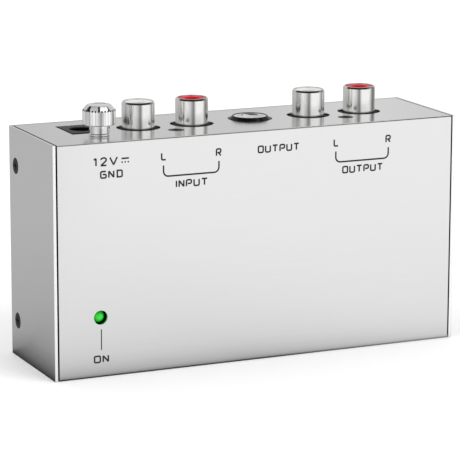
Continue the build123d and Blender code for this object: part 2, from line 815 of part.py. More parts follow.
# ---------------------------------------------------------------- parts on the board
def board_grid():
    """Places of the parts on the component side, as (x, z), kept clear of the sockets."""
    signal_step = 2 * signal_cap_radius + cap_gap
    supply_step = 2 * supply_cap_radius + cap_gap
    shelf = block_bottom - cap_gap
    signal_z = shelf - signal_cap_radius
    film_z = signal_z - signal_cap_radius - cap_gap - film_length / 2
    disc_z = film_z - film_length / 2 - cap_gap - disc_radius
    supply_z = dc_bottom - cap_gap - supply_cap_radius
    return {
        "signal": [(input_centre + step * signal_step, signal_z) for step in (-1, 0, 1)]
        + [(output_centre + step * signal_step, signal_z) for step in (-1, 0, 1)],
        "supply": [(dc_x, supply_z - step * supply_step) for step in (0, 1)],
        "film": [(input_centre + step * signal_step, film_z) for step in (-1, 1)]
        + [(output_centre + step * signal_step, film_z) for step in (-1, 0, 1)],
        "disc": [(output_centre + step * signal_step, disc_z) for step in (-1, 0, 1)],
        "op_amp": (input_centre + signal_step * 0.1, disc_z - cap_gap),
        "regulator": (dc_x + supply_cap_radius + cap_gap + regulator_width, disc_z),
        "diode": (dc_x + supply_cap_radius + cap_gap + diode_radius, supply_z),
    }


def cap_leads(places, pitch):
    """Leads of upright two-legged parts, pitch apart along X."""
    return [
        rod_y(x + side * pitch, z, board_front, tail_end, lead_radius)
        for x, z in places
        for side in (-0.5, 0.5)
    ]


def can_capacitor(x, z, radius, length):
    """Aluminium can with the rolled groove above its seal."""
    can = rod_y(x, z, board_front - length, board_front, radius)
    can = fillet(can.edges().group_by(Axis.Y)[0], cap_groove)
    groove_y = board_front - cap_groove_height
    ring = rod_y(x, z, groove_y - cap_groove, groove_y + cap_groove, radius + 1)
    ring -= rod_y(x, z, groove_y - 1, groove_y + 1, radius - cap_groove)
    return can - ring


def axial_body(x, z, radius, length):
    """Body of a wire-ended part that lies along Z just above the board."""
    body = rod_z(x, board_front - axial_lift - radius, z - length / 2, z + length / 2, radius)
    return fillet(body.edges(), radius * axial_round_share)


def axial_leads(x, z, radius, length):
    """The two bent leads of a wire-ended part."""
    y = board_front - axial_lift - radius
    leads = []
    for side in (-1, 1):
        foot_z = z + side * axial_span / 2
        low, high = sorted((z + side * length / 2, foot_z))
        lead = rod_z(x, y, low, high, lead_radius) + Pos(x, y, foot_z) * Sphere(lead_radius)
        leads.append(lead + rod_y(x, foot_z, y, tail_end, lead_radius))
    return leads


def resistor_places():
    """One row of resistors along the lower edge of the board."""
    first = -(resistor_count - 1) / 2 * resistor_pitch
    return [(first + index * resistor_pitch, resistor_z) for index in range(resistor_count)]


def op_amp_pin_places(grid):
    """Pins of the eight-legged op amp, as (x, z, side)."""
    x, z = grid["op_amp"]
    return [
        (x + side * (op_amp_width / 2 + op_amp_pin_thickness / 2), z + (row - 1.5) * op_amp_pin_pitch, side)
        for side in (-1, 1)
        for row in range(4)
    ]


def op_amp(grid):
    """Moulded body of the op amp, with its orientation notch."""
    x, z = grid["op_amp"]
    back = board_front - op_amp_stand
    front, end = back - op_amp_height, z + op_amp_length / 2
    body = slab(x - op_amp_width / 2, x + op_amp_width / 2, front, back, z - op_amp_length / 2, end)
    return body - rod_y(x, end, front - 1, front + op_amp_notch_radius, op_amp_notch_radius)


def op_amp_pins(grid):
    """Flat pins of the op amp, from the sides of its body through the board."""
    middle = board_front - op_amp_stand - op_amp_height / 2
    pins = []
    for x, z, side in op_amp_pin_places(grid):
        half = op_amp_pin_thickness / 2
        pins.append(slab(
            x - half, x + half, middle, tail_end, z - op_amp_pin_width / 2, z + op_amp_pin_width / 2
        ))
    return pins


def regulator(grid):
    """Small three-legged voltage regulator with one flat face."""
    x, z = grid["regulator"]
    back = board_front - regulator_stand
    body = rod_y(x, z, back - regulator_height, back, regulator_width / 2)
    flat = regulator_depth - regulator_width / 2
    return body - slab(
        x - regulator_width, x + regulator_width, back - regulator_height - 1, back + 1,
        z - regulator_width, z - flat,
    )


def regulator_lead_places(grid):
    """Centres of the regulator's legs."""
    x, z = grid["regulator"]
    return [(x + step * op_amp_pin_pitch / 2, z) for step in (-1, 0, 1)]


def film_capacitors(grid):
    """Dipped film capacitors, standing on edge."""
    boxes = []
    for x, z in grid["film"]:
        box = slab(
            x - film_thickness / 2, x + film_thickness / 2, board_front - film_height, board_front,
            z - film_length / 2, z + film_length / 2,
        )
        boxes.append(fillet(box.edges().group_by(Axis.Y)[0], film_round))
    return boxes


def film_lead_places(grid):
    """Centres of the film capacitors' leads."""
    reach = film_length / 2 - lead_inset
    return [(x, z + side * reach) for x, z in grid["film"] for side in (-1, 1)]


def disc_capacitors(grid):
    """Ceramic disc capacitors, standing on edge."""
    discs = []
    for x, z in grid["disc"]:
        centre_y = board_front - disc_radius - axial_lift
        disc = rod_x(centre_y, z, x - disc_thickness / 2, x + disc_thickness / 2, disc_radius)
        discs.append(fillet(disc.edges(), disc_round))
    return discs


def disc_lead_places(grid):
    """Centres of the discs' leads."""
    return [(x, z + side * cap_lead_pitch / 2) for x, z in grid["disc"] for side in (-1, 1)]


def component_leads(grid):
    """Every round lead on the board."""
    leads = cap_leads(grid["signal"] + grid["supply"], cap_lead_pitch)
    leads += [rod_y(x, z, board_front, tail_end, lead_radius) for x, z in film_lead_places(grid)]
    disc_middle = board_front - axial_lift - disc_radius
    regulator_back = board_front - regulator_stand
    leads += [rod_y(x, z, regulator_back, tail_end, lead_radius) for x, z in regulator_lead_places(grid)]
    for x, z in disc_lead_places(grid):
        lead = rod_y(x, z, disc_middle, tail_end, lead_radius)
        leads.append(lead - disc_keep_out(x, grid))
    for x, z in resistor_places():
        leads += axial_leads(x, z, axial_radius, axial_length)
    x, z = grid["diode"]
    leads += axial_leads(x, z, diode_radius, diode_length)
    return leads


def disc_keep_out(x, grid):
    """Full round discs at one x, to trim their leads to the curved edge."""
    return [
        rod_x(board_front - disc_radius - axial_lift, z, x - disc_thickness, x + disc_thickness, disc_radius)
        for place, z in grid["disc"]
        if place == x
    ]


def circuit_board(grid):
    """Board with a hole for each lead, lug, pin and screw."""
    board = slab(-board_half, board_half, board_front, board_back, board_bottom, board_top)
    low, high = board_front - 1, board_back + 1
    lead = lead_radius + lead_slip
    tail = contact_tail_radius + lead_slip
    round_holes = [(x + side * cap_lead_pitch, z, lead) for x, z in grid["signal"] + grid["supply"]
                   for side in (-0.5, 0.5)]
    round_holes += [(x, z, lead) for x, z in film_lead_places(grid) + disc_lead_places(grid)]
    round_holes += [(x, z, lead) for x, z in regulator_lead_places(grid)]
    for x, z in resistor_places() + [grid["diode"]]:
        round_holes += [(x, z + side * axial_span / 2, lead) for side in (-1, 1)]
    round_holes += [(x, z, led_lead_radius + lead_slip) for x, z in led_lead_places()]
    round_holes += [(x, z, board_screw_radius + slip) for x, z in standoff_places]
    round_holes.append((wire_x, washer_top - wire_drop, wire_bare_radius + lead_slip))
    round_holes.append((dc_x, dc_pin_tail_z, tail))
    round_holes += [(phone_x + side * leaf_pivot_out, leaf_pivot_z, tail) for side in (-1, 1)]
    lug_holes = [(phone_x, sleeve_lug_z)]
    for centre in phono_modules.values():
        for offset in sides.values():
            round_holes.append((centre + offset, contact_tail_z, tail))
            lug_holes.append((centre + offset, phono_lug_z))
    holes = [rod_y(x, z, low, high, radius) for x, z, radius in round_holes]
    for x, z in lug_holes:
        half_width, half_height = lug_width / 2 + lead_slip, lug_thickness / 2 + lead_slip
        holes.append(slab(x - half_width, x + half_width, low, high, z - half_height, z + half_height))
    for x, z, side in op_amp_pin_places(grid):
        half_width, half_height = op_amp_pin_thickness / 2 + lead_slip, op_amp_pin_width / 2 + lead_slip
        holes.append(slab(x - half_width, x + half_width, low, high, z - half_height, z + half_height))
    return board - holes


# ---------------------------------------------------------------- the whole assembly
def assembly():
    """Every node of the preamp, by name."""
    grid = board_grid()
    nodes = {
        "label_shell": label_shell(),
        "rear_shell": rear_shell(),
        "case_screws": case_screws(),
        "rubber_feet": rubber_feet(),
        "circuit_board": circuit_board(grid),
        "board_standoffs": board_standoffs(),
        "board_screws": board_screws(),
        "rear_screws": rear_screws(),
        "output_jack_body": phone_jack_body(),
        "output_jack_sleeve": phone_jack_sleeve(),
        "output_jack_tip_spring": phone_leaf(1, tip_touch_drop),
        "output_jack_ring_spring": phone_leaf(-1, ring_touch_drop),
        "output_jack_terminals": phone_jack_terminals(),
        "dc_socket_body": dc_jack_body(),
        "dc_socket_pin": dc_centre_pin(),
        "dc_socket_spring": dc_barrel_spring(),
        "ground_stud": ground_stud(),
        "ground_captive_washer": ground_captive_washer(),
        "ground_thumb_nut": ground_thumb_nut(),
        "ground_solder_tag": ground_solder_tag(),
        "ground_lock_washer": ground_lock_washer(),
        "ground_hex_nut": ground_hex_nut(),
        "ground_wire": ground_wire(),
        "led_lens": led_lens(),
        "led_leads": led_leads(),
        "led_spacer": led_spacer(),
        "op_amp": op_amp(grid),
        "op_amp_pins": op_amp_pins(grid),
        "voltage_regulator": regulator(grid),
        "signal_capacitors": [
            can_capacitor(x, z, signal_cap_radius, signal_cap_length) for x, z in grid["signal"]
        ],
        "supply_capacitors": [
            can_capacitor(x, z, supply_cap_radius, supply_cap_length) for x, z in grid["supply"]
        ],
        "film_capacitors": film_capacitors(grid),
        "ceramic_capacitors": disc_capacitors(grid),
        "resistors": [axial_body(x, z, axial_radius, axial_length) for x, z in resistor_places()],
        "protection_diode": axial_body(*grid["diode"], diode_radius, diode_length),
        "component_leads": component_leads(grid),
    }
    for module, centre in phono_modules.items():
        nodes[module + "_socket_block"] = phono_block(centre)
        nodes[module + "_block_screw"] = block_screw(centre)
        for side, offset in sides.items():
            nodes[module + "_" + side + "_barrel"] = phono_barrel(centre + offset)
            nodes[module + "_" + side + "_insulator"] = phono_insulator(centre + offset)
            nodes[module + "_" + side + "_contact"] = phono_contact(centre + offset)
    return nodes


os.makedirs("parts", exist_ok=True)
for name, shape in assembly().items():
    if isinstance(shape, list):
        shape = Compound(children=shape)
    export_step(shape, "parts/" + name + ".step")
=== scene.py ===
"""Phono preamp standing on its foot panel: detailed outer pieces, finishes, lettering, floor and light."""
from math import atan2, cos, degrees, hypot, pi, radians, sin, tan

import bmesh
import bpy
from mathutils import Matrix, Quaternion, Vector


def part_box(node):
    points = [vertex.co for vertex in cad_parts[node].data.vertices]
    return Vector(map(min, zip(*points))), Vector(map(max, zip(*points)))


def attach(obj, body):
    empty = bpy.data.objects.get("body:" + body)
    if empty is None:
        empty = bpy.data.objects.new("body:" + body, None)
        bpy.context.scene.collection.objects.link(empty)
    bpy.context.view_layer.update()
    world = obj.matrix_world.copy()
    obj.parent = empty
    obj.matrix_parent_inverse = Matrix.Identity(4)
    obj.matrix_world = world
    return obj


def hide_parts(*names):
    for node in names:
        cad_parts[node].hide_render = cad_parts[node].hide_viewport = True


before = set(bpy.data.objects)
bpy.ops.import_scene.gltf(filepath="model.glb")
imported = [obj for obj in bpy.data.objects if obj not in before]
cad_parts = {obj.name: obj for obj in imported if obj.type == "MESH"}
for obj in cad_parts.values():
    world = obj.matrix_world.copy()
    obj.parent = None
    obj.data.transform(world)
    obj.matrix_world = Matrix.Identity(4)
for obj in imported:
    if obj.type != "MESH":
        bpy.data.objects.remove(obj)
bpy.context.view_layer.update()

mm = 0.001
flat_middle = 0.3  # share of a turned face that its capping disc covers

# ---- driving sizes
# Folded case
sheet = 0.8 * mm
label_bend = 0.45 * mm
rear_bend = 0.85 * mm
sheet_edge = 0.12 * mm
outer_edge = 0.3 * mm
bend_steps, edge_steps = 8, 4
ear_width = 8.0 * mm
ear_drop = 13.6 * mm

# Openings in the case, beyond what passes through them
nose_radius = 5.5 * mm
stud_radius = 1.48 * mm
flush_depth = 0.75 * mm
rear_hole_radius = 1.35 * mm
jack_gap = 0.2 * mm
phono_hole_radius = 5.55 * mm
ground_hole_gap = 0.15 * mm
dc_side_gap = 0.6 * mm
dc_front_gap = 1.6 * mm
dc_rear_gap = 0.2 * mm
light_hole_radius = 1.8 * mm
countersink_gap = 0.08 * mm

# Cross-head screws
screw_rim = 0.15 * mm
screw_recess_arm = 1.25
screw_recess_slot = 0.30
screw_recess_depth = 0.6
screw_recess_taper = (0.7, 0.6, 1)
screw_edge = 0.06 * mm
shank_share = 0.5
shank_slack = 0.95
shank_point = 0.6
shank_point_length = 0.5
screw_dome = 0.62
case_screw_length = 3.85 * mm

# Phono sockets
barrel_radius = 4.2 * mm
barrel_wall = 0.6 * mm
barrel_lip_rise = 0.5 * mm
barrel_lip_inset = 0.24 * mm
barrel_lip_round = 0.05 * mm
barrel_shank_step = 0.2 * mm
barrel_shank_rise = 0.4 * mm
lug_half_width = 1.0 * mm
lug_half_thickness = 0.2 * mm
lug_below_panel = 3.7 * mm
lug_edge = 0.05 * mm
insulator_edge = 0.18 * mm
insulator_gap = 0.05 * mm
rim_round = 0.1 * mm
mouth_radius = 1.8 * mm
mouth_chamfer = 0.35 * mm
mouth_depth = 1.5 * mm
contact_clearance = 2.01 * mm

# Sleeve in the mouth of the output jack
jack_bore_radius = 3.2 * mm
jack_sleeve_radius = 4.2 * mm
jack_ring_drop = 0.1 * mm
jack_mouth_bevel = 0.42 * mm
jack_edge = 0.05 * mm
jack_lug_below_top = 6.0 * mm

# Thumb nut of the ground terminal
nut_bore = 1.53 * mm
nut_spigot = 2.05 * mm
nut_neck = 2.6 * mm
nut_head_base = 3.0 * mm
nut_head = 4.15 * mm
knurl_teeth = 32
knurl_steps = 8
knurl_depth = 0.2 * mm
knurl_groove = 0.1 * mm
knurl_notch = 0.16 * mm
knurl_run_out = 0.22 * mm
knurl_foot_round = 0.08 * mm
knurl_shadow = (0.7, 1.1)
nut_head_rise = 2.8 * mm
nut_crown = 1.3 * mm
nut_crown_inset = 1.15 * mm
nut_crown_round = 0.5 * mm
nut_dish_radius = 2.3 * mm
nut_dish_depth = 0.12 * mm
nut_dish_round = 0.06 * mm
nut_neck_foot = 0.25 * mm
nut_neck_top = 0.2 * mm
nut_roof = 0.85 * mm
washer_wall = 0.5 * mm
washer_edge = 0.18 * mm

# Thread of the ground stud
thread_pitch = 0.5 * mm
thread_depth = 0.28 * mm
thread_flanks = 0.85
thread_steps = 48
stud_point = 0.25 * mm
stud_tip_fill = 0.4
stud_tip_pitches = 1.2
stud_shoulder = 2.6 * mm

# Power light and rubber feet
light_radius = 1.5 * mm
light_flange = 0.9 * mm
# Shift of the light's glow down and to the left, so that its dimmer upper right is painted shade from the hole's rim
glow_offset_for_painted_shade = Vector((-0.15, 0.0, -0.15)) * mm
# Depths below the DC socket's face where its painted shade begins and where it is full
socket_shade_start, socket_shade_full = 0.15 * mm, 0.3 * mm
foot_radius = 4.0 * mm
foot_edge = 0.6 * mm
foot_dish_share = 0.55
foot_dish_depth = 0.5 * mm

# Printed lettering
stroke = 0.42 * mm
thin_stroke = 0.28 * mm
ink_thickness = 0.03 * mm
letter_round = 0.18
letter_gap = 0.35
sharpest_eased = 75
sharp_turn = 40
leg_share = 0.45
text_height, side_height = 2.00, 2.10
bracket_round = 1.3 * mm
dash_share = 0.18
bracket_drop = 2.78 * mm


# Tones of the studio's cloths: (degrees round, tone), and of the painted shadow on the tent's ground: (distance from
# the case, tone)
wall_tones = (
    (-180, 0.58), (-169, 0.50), (-156, 0.53), (-129, 0.55), (-113, 0.40), (-84, 0.66), (-62, 0.94), (-36, 0.69),
    (-24, 0.39), (-12.7, 0.22), (-4, 0.59), (4, 0.97), (10, 1.0), (56, 1.0), (66, 0.78), (81, 0.25), (92, 0.17),
    (106, 0.35), (121, 0.59), (143, 0.765), (156, 0.67), (168, 0.65), (180, 0.58),
)
end_shadow_tones = (
    (0.0, 0.05), (0.003, 0.30), (0.006, 0.46), (0.0103, 0.655), (0.018, 0.76), (0.027, 0.81), (0.055, 0.93),
    (0.1, 0.98),
)
front_shadow_tones = (
    (0.0, 0.05), (0.0015, 0.28), (0.004, 0.48), (0.012, 0.64), (0.020, 0.75), (0.049, 0.85), (0.123, 0.93),
    (0.205, 1.0),
)
tent_radius, tent_height = 0.2, 0.45
floor_size, floor_lift, surround = 30.0, 0.12, 0.72
side_tone = 0.56
right_shadow_share = 0.55
black_low = 0.15
black_reach = 109.0
black_top, black_top_fade = 48.0, 6.0
black_tone, behind_tone = 0.015, 0.60
window_tilt, window_spread = 41.5, 2.5
window_inner, window_outer = 4.0, 35.0
left_window, right_window = 0.60, 1.25
camera_place = Vector((-272.11, -603.87, 173.70)) * mm


# ---- places taken from the frame
def middle(node):
    """Centre of a node's box."""
    low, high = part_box(node)
    return (low + high) / 2


def half_width(node):
    """Half of a node's size along X, which is the radius of a round node."""
    low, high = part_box(node)
    return (high.x - low.x) / 2


label_low, label_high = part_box("label_shell")
case_low, case_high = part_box("rear_shell")
panel_top = label_high.z
phono_modules = ("input", "output")
phono_sides = ("left", "right")
jack_low, jack_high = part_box("output_jack_sleeve")
jack_axis = Vector((middle("output_jack_sleeve").x, jack_low.y + jack_sleeve_radius))
light_low, light_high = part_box("led_lens")
light_centre = middle("led_lens")
nut_low, nut_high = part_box("ground_thumb_nut")
washer_low, washer_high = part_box("ground_captive_washer")
ground = middle("ground_captive_washer")
turned_up = Matrix.Identity(4)
out_of_label = Matrix.Rotation(radians(90), 4, "X")
out_of_rear = Matrix.Rotation(radians(-90), 4, "X")
out_of_left = Matrix.Rotation(radians(-90), 4, "Y")
out_of_right = Matrix.Rotation(radians(90), 4, "Y")


# ---- workshop
def select_only(piece):
    """Makes one piece the selected and active one."""
    bpy.ops.object.select_all(action="DESELECT")
    piece.select_set(True)
    bpy.context.view_layer.objects.active = piece


def settle(piece):
    """Puts a piece's place and turn into its mesh."""
    select_only(piece)
    bpy.ops.object.transform_apply(location=True, rotation=True, scale=True)
    return piece


def start_edit(piece):
    """Opens a piece for editing with nothing selected."""
    select_only(piece)
    bpy.ops.object.mode_set(mode="EDIT")
    bpy.ops.mesh.select_all(action="DESELECT")


def pick(piece, kind, test):
    """In edit mode, selects just the vertices, edges or faces that pass the test."""
    bpy.ops.mesh.select_mode(type=kind)
    bpy.ops.mesh.select_all(action="DESELECT")
    shape = bmesh.from_edit_mesh(piece.data)
    for element in {"VERT": shape.verts, "EDGE": shape.edges, "FACE": shape.faces}[kind]:
        if test(element):
            element.select_set(True)
    bmesh.update_edit_mesh(piece.data)


def edit(piece, kind, test, operator, **settings):
    """Does one step on the elements of a piece that pass the test."""
    start_edit(piece)
    pick(piece, kind, test)
    operator(**settings)
    bpy.ops.object.mode_set(mode="OBJECT")
    return piece


def close_up(piece):
    """Fills open rims, turns all faces outwards and ends the editing."""
    bpy.ops.mesh.select_mode(type="VERT")
    bpy.ops.mesh.select_all(action="SELECT")
    bpy.ops.mesh.remove_doubles(threshold=0.0001 * mm)
    bpy.ops.mesh.fill_holes(sides=0)
    bpy.ops.mesh.select_all(action="SELECT")
    bpy.ops.mesh.normals_make_consistent(inside=False)
    bpy.ops.object.mode_set(mode="OBJECT")
    return piece


def apply(piece, kind, **settings):
    """Adds a modifier with these settings and applies it."""
    select_only(piece)
    modifier = piece.modifiers.new(kind.lower(), kind)
    for key, value in settings.items():
        setattr(modifier, key, value)
    bpy.ops.object.modifier_apply(modifier=modifier.name)
    return piece


def block(name, low, high):
    """Rectangular block between two corners."""
    centre = (Vector(low) + Vector(high)) / 2
    bpy.ops.mesh.primitive_cube_add(size=1, location=centre, scale=Vector(high) - Vector(low))
    piece = bpy.context.object
    piece.name = name
    return settle(piece)


def drill(centre, radius, length, turn=turned_up, steps=96):
    """Round cutter about a centre, along the turned Z axis."""
    bpy.ops.mesh.primitive_cylinder_add(vertices=steps, radius=radius, depth=length)
    cutter = bpy.context.object
    cutter.matrix_world = Matrix.Translation(centre) @ turn
    return settle(cutter)


def countersink(head, radius, depth, place):
    """Cutter for a flush screw whose head top is at the place."""
    bpy.ops.mesh.primitive_cone_add(
        vertices=64, radius1=radius, radius2=head, depth=depth, location=(0, 0, -screw_rim - depth / 2)
    )
    cone = settle(bpy.context.object)
    rim = drill((0, 0, depth - screw_rim), head, 2 * depth, steps=64)
    hole = drill((0, 0, 0), radius, 6 * depth, steps=64)
    cutter = combine(combine(cone, rim, "UNION"), hole, "UNION")
    cutter.matrix_world = place
    return settle(cutter)


def combine(piece, other, operation):
    """Boolean of two pieces, which uses up the second."""
    apply(piece, "BOOLEAN", operation=operation, solver="EXACT", object=other)
    bpy.data.objects.remove(other)
    return piece


def join(name, pieces):
    """Several pieces as one."""
    bpy.ops.object.select_all(action="DESELECT")
    for piece in pieces:
        piece.select_set(True)
    bpy.context.view_layer.objects.active = pieces[0]
    if len(pieces) > 1:
        bpy.ops.object.join()
    pieces[0].name = name
    return pieces[0]


def soften(piece, width, steps=2, angle=30):
    """Rounds every sharp edge a little and evens out the shading."""
    apply(piece, "BEVEL", width=width, segments=steps, limit_method="ANGLE", angle_limit=radians(angle))
    select_only(piece)
    bpy.ops.object.shade_smooth()
    return apply(piece, "WEIGHTED_NORMAL", mode="FACE_AREA", weight=50)


def smooth(piece, angle=32):
    """Smooth shading that keeps the sharp edges."""
    select_only(piece)
    bpy.ops.object.shade_smooth_by_angle(angle=radians(angle))
    return piece


def copies(name, master, places):
    """Copies of a master piece at several places, joined as one; the master is used up."""
    made = []
    for place in places:
        copy = master.copy()
        copy.data = master.data.copy()
        bpy.context.collection.objects.link(copy)
        copy.matrix_world = place
        made.append(settle(copy))
    bpy.data.objects.remove(master)
    return join(name, made)


def arc(corner, before, after, radius, steps=5):
    """Points of the arc that rounds a corner between its two neighbours."""
    corner, before, after = Vector(corner), Vector(before), Vector(after)
    back, ahead = (before - corner).normalized(), (after - corner).normalized()
    half_angle = back.angle(ahead) / 2
    reach = radius / tan(half_angle)
    centre = corner + (back + ahead).normalized() * (radius / sin(half_angle))
    start, end = corner + back * reach, corner + ahead * reach
    points = []
    for step in range(steps + 1):
        spoke = (start - centre).lerp(end - centre, step / steps).normalized()
        points.append(tuple(centre + spoke * radius))
    return points


def rounded(corners, closed=False):
    """Outline through (u, v) or (u, v, fillet) corners, with each fillet as an arc."""
    points = []
    for index, (u, v, *fillet) in enumerate(corners):
        if any(fillet) and (closed or 0 < index < len(corners) - 1):
            before, after = corners[index - 1], corners[(index + 1) % len(corners)]
            points += arc((u, v), before[:2], after[:2], *fillet)
        else:
            points.append((u, v))
    return points


def turned(name, corners, steps=96, ring=False):
    """Lathe work about Z through (radius, height, fillet) corners, closed as a ring or capped at its ends."""
    profile = rounded(corners, ring)
    (radius, height), *rest = profile + profile[:1] if ring else profile
    bpy.ops.mesh.primitive_circle_add(vertices=steps, radius=radius, location=(0, 0, height))
    piece = settle(bpy.context.object)
    piece.name = name
    start_edit(piece)
    bpy.ops.mesh.select_all(action="SELECT")
    for next_radius, next_height in rest:
        bpy.ops.mesh.extrude_edges_move(TRANSFORM_OT_translate={"value": (0, 0, next_height - height)})
        spread = next_radius / radius
        bpy.ops.transform.resize(value=(spread, spread, 1), center_override=(0, 0, next_height))
        radius, height = next_radius, next_height
    return close_up(piece)


def seat(x, y, z, turn=turned_up):
    """Place and turn of a piece."""
    return Matrix.Translation((x, y, z)) @ turn


def stand(piece, x, y, z=0.0, turn=turned_up):
    """Moves a piece from the workshop's origin to its place."""
    piece.matrix_world = seat(x, y, z, turn)
    return settle(piece)


# ---- node work for finishes
def feed(tree, socket, value):
    """Gives a socket a value or another node's output."""
    if isinstance(value, bpy.types.NodeSocket):
        tree.links.new(value, socket)
    else:
        socket.default_value = value


def add(tree, kind, inputs=(), **settings):
    """A node with its settings and its inputs."""
    node = tree.nodes.new("ShaderNode" + kind)
    for key, value in settings.items():
        setattr(node, key, value)
    for key, value in dict(inputs).items():
        feed(tree, node.inputs[key], value)
    return node


def number(tree, operation, *values):
    """A sum or a test on numbers."""
    return add(tree, "Math", enumerate(values), operation=operation).outputs[0]


def arrow(tree, operation, *values):
    """A sum on vectors, which gives a vector, or a number for a length or a dot product."""
    outputs = add(tree, "VectorMath", enumerate(values), operation=operation).outputs
    return outputs["Value" if operation in ("LENGTH", "DOT_PRODUCT") else "Vector"]


def axes(tree, vector):
    """X, Y and Z of a vector."""
    return add(tree, "SeparateXYZ", {0: vector}).outputs


def combined(tree, **numbers):
    """A vector of numbers for X, Y and Z."""
    return add(tree, "CombineXYZ", numbers).outputs[0]


def mapped(tree, value, low, high, new_low=0.0, new_high=1.0, **settings):
    """A value taken from one range to another."""
    ends = {"From Min": low, "From Max": high, "To Min": new_low, "To Max": new_high}
    return add(tree, "MapRange", {"Value": value, **ends}, **settings).outputs[0]


def noise(tree, vector, scale, **settings):
    """Noise of a scale, which is a number or stretches the axes."""
    if isinstance(scale, bpy.types.NodeSocketVector):
        vector, scale = arrow(tree, "MULTIPLY", vector, scale), 1.0
    return add(tree, "TexNoise", {"Vector": vector, "Scale": scale, **settings}).outputs["Fac"]


def colour_ramp(tree, factor, stops, interpolation="LINEAR"):
    """A colour that follows (position, colour) stops."""
    made = add(tree, "ValToRGB", {"Fac": factor})
    made.color_ramp.interpolation = interpolation
    elements = made.color_ramp.elements
    while len(elements) < len(stops):
        elements.new(0.5)
    for element, (position, colour) in zip(elements, stops):
        element.position = position
        element.color = (*colour, 1.0)
    return made.outputs["Color"]


def pattern(name, build, **numbers):
    """A shared node group that makes one number from a vector and some numbers."""
    group = bpy.data.node_groups.new(name, "ShaderNodeTree")
    group.interface.new_socket(name="Vector", in_out="INPUT", socket_type="NodeSocketVector")
    for socket, value in numbers.items():
        made = group.interface.new_socket(name=socket, in_out="INPUT", socket_type="NodeSocketFloat")
        made.default_value = value
    group.interface.new_socket(name="Value", in_out="OUTPUT", socket_type="NodeSocketFloat")
    given = group.nodes.new("NodeGroupInput").outputs
    result = group.nodes.new("NodeGroupOutput").inputs
    group.links.new(build(group, given), result[0])
    return group


def brushing(tree, given):
    """Fine parallel lines that run along X, uneven along their length."""
    scale = combined(tree, X=given["Along"], Y=given["Across"], Z=given["Across"])
    return mapped(tree, noise(tree, given["Vector"], scale, Detail=5.0, Roughness=0.6), 0.28, 0.72)


def turning(tree, given):
    """Fine rings about the Z axis, as a cutting tool leaves them."""
    scale = combined(tree, X=60.0, Y=60.0, Z=given["Rings"])
    return noise(tree, given["Vector"], scale, Detail=3.0)


def handling(tree, given):
    """Broad smudges with a little fine detail."""
    return mapped(tree, noise(tree, given["Vector"], given["Scale"], Detail=4.0), 0.3, 0.7)


def moulding(tree, given):
    """Spark-eroded grain of moulded plastic and rubber."""
    cells = add(tree, "TexVoronoi", {"Vector": given["Vector"], "Scale": given["Scale"]}).outputs["Distance"]
    return number(tree, "ADD", cells, noise(tree, given["Vector"], given["Scale"], Detail=2.0))


brush_lines = pattern("brush_lines", brushing, Across=5200.0, Along=60.0)
lathe_rings = pattern("lathe_rings", turning, Rings=9000.0)
handling_mottle = pattern("handling_mottle", handling, Scale=90.0)
moulded_grain = pattern("moulded_grain", moulding, Scale=7000.0)


def use(tree, group, vector, **numbers):
    """The number that a shared pattern gives."""
    return add(tree, "Group", {"Vector": vector, **numbers}, node_tree=group).outputs[0]


def new_finish(name, base, roughness, metallic=0.0, **values):
    """A material with its shader's plain values, and the Object coordinates for its patterns."""
    material = bpy.data.materials.new(name)
    material.use_nodes = True
    tree = material.node_tree
    shader = tree.nodes["Principled BSDF"]
    plain = {"Base Color": (*base, 1.0), "Roughness": roughness, "Metallic": metallic}
    plain.update({key.replace("_", " "): value for key, value in values.items()})
    for key, value in plain.items():
        shader.inputs[key].default_value = value
    return material, tree, shader, add(tree, "TexCoord").outputs["Object"]


def shade(colour, share):
    """A darker shade of a colour."""
    return tuple(share * channel for channel in colour)


def vary_colour(tree, shader, factor, dark, light, socket="Base Color"):
    """Feeds a colour of the shader with one between two."""
    colours = {"Factor": factor, 6: (*dark, 1.0), 7: (*light, 1.0)}
    tree.links.new(add(tree, "Mix", colours, data_type="RGBA").outputs[2], shader.inputs[socket])


def vary_roughness(tree, shader, factor, low, high):
    """Feeds the shader's roughness with a range."""
    tree.links.new(mapped(tree, factor, 0.0, 1.0, low, high), shader.inputs["Roughness"])


def add_bump(tree, shader, height, depth, strength):
    """Feeds the shader's normal with a bump of this depth."""
    bump = add(tree, "Bump", {"Height": height, "Distance": depth * mm, "Strength": strength})
    tree.links.new(bump.outputs[0], shader.inputs["Normal"])


# ---- metal finishes
def brushed_case(name, base, rough, round_ends):
    """Finely brushed and clear-anodised sheet, its lines level, and led round the ends on the shell that has them."""
    material, tree, shader, place = new_finish(name, base, rough, 1.0, Anisotropic=0.75)
    tree.links.new(combined(tree, Y=0.0 if round_ends else 1.0, Z=1.0), shader.inputs["Tangent"])
    vector = place
    if round_ends:
        x, y, z = axes(tree, place)
        vector = combined(tree, X=number(tree, "ADD", x, y), Z=z)
    lines = use(tree, brush_lines, vector)
    mottle = use(tree, handling_mottle, place, Scale=35.0)
    vary_colour(tree, shader, lines, shade(base, 0.97), base)
    uneven = number(tree, "MULTIPLY_ADD", mottle, 0.35, lines)
    vary_roughness(tree, shader, uneven, rough - 0.015, rough + 0.015)
    add_bump(tree, shader, lines, 0.0005, 0.3)
    return material


def cut_metal(name, base, rough):
    """Bare sheared edge of the sheet, bright and faintly streaked."""
    material, tree, shader, place = new_finish(name, base, rough, 0.4)
    streaks = use(tree, brush_lines, place, Across=3000.0, Along=900.0)
    vary_colour(tree, shader, streaks, shade(base, 0.95), base)
    vary_roughness(tree, shader, streaks, rough - 0.05, rough + 0.05)
    return material


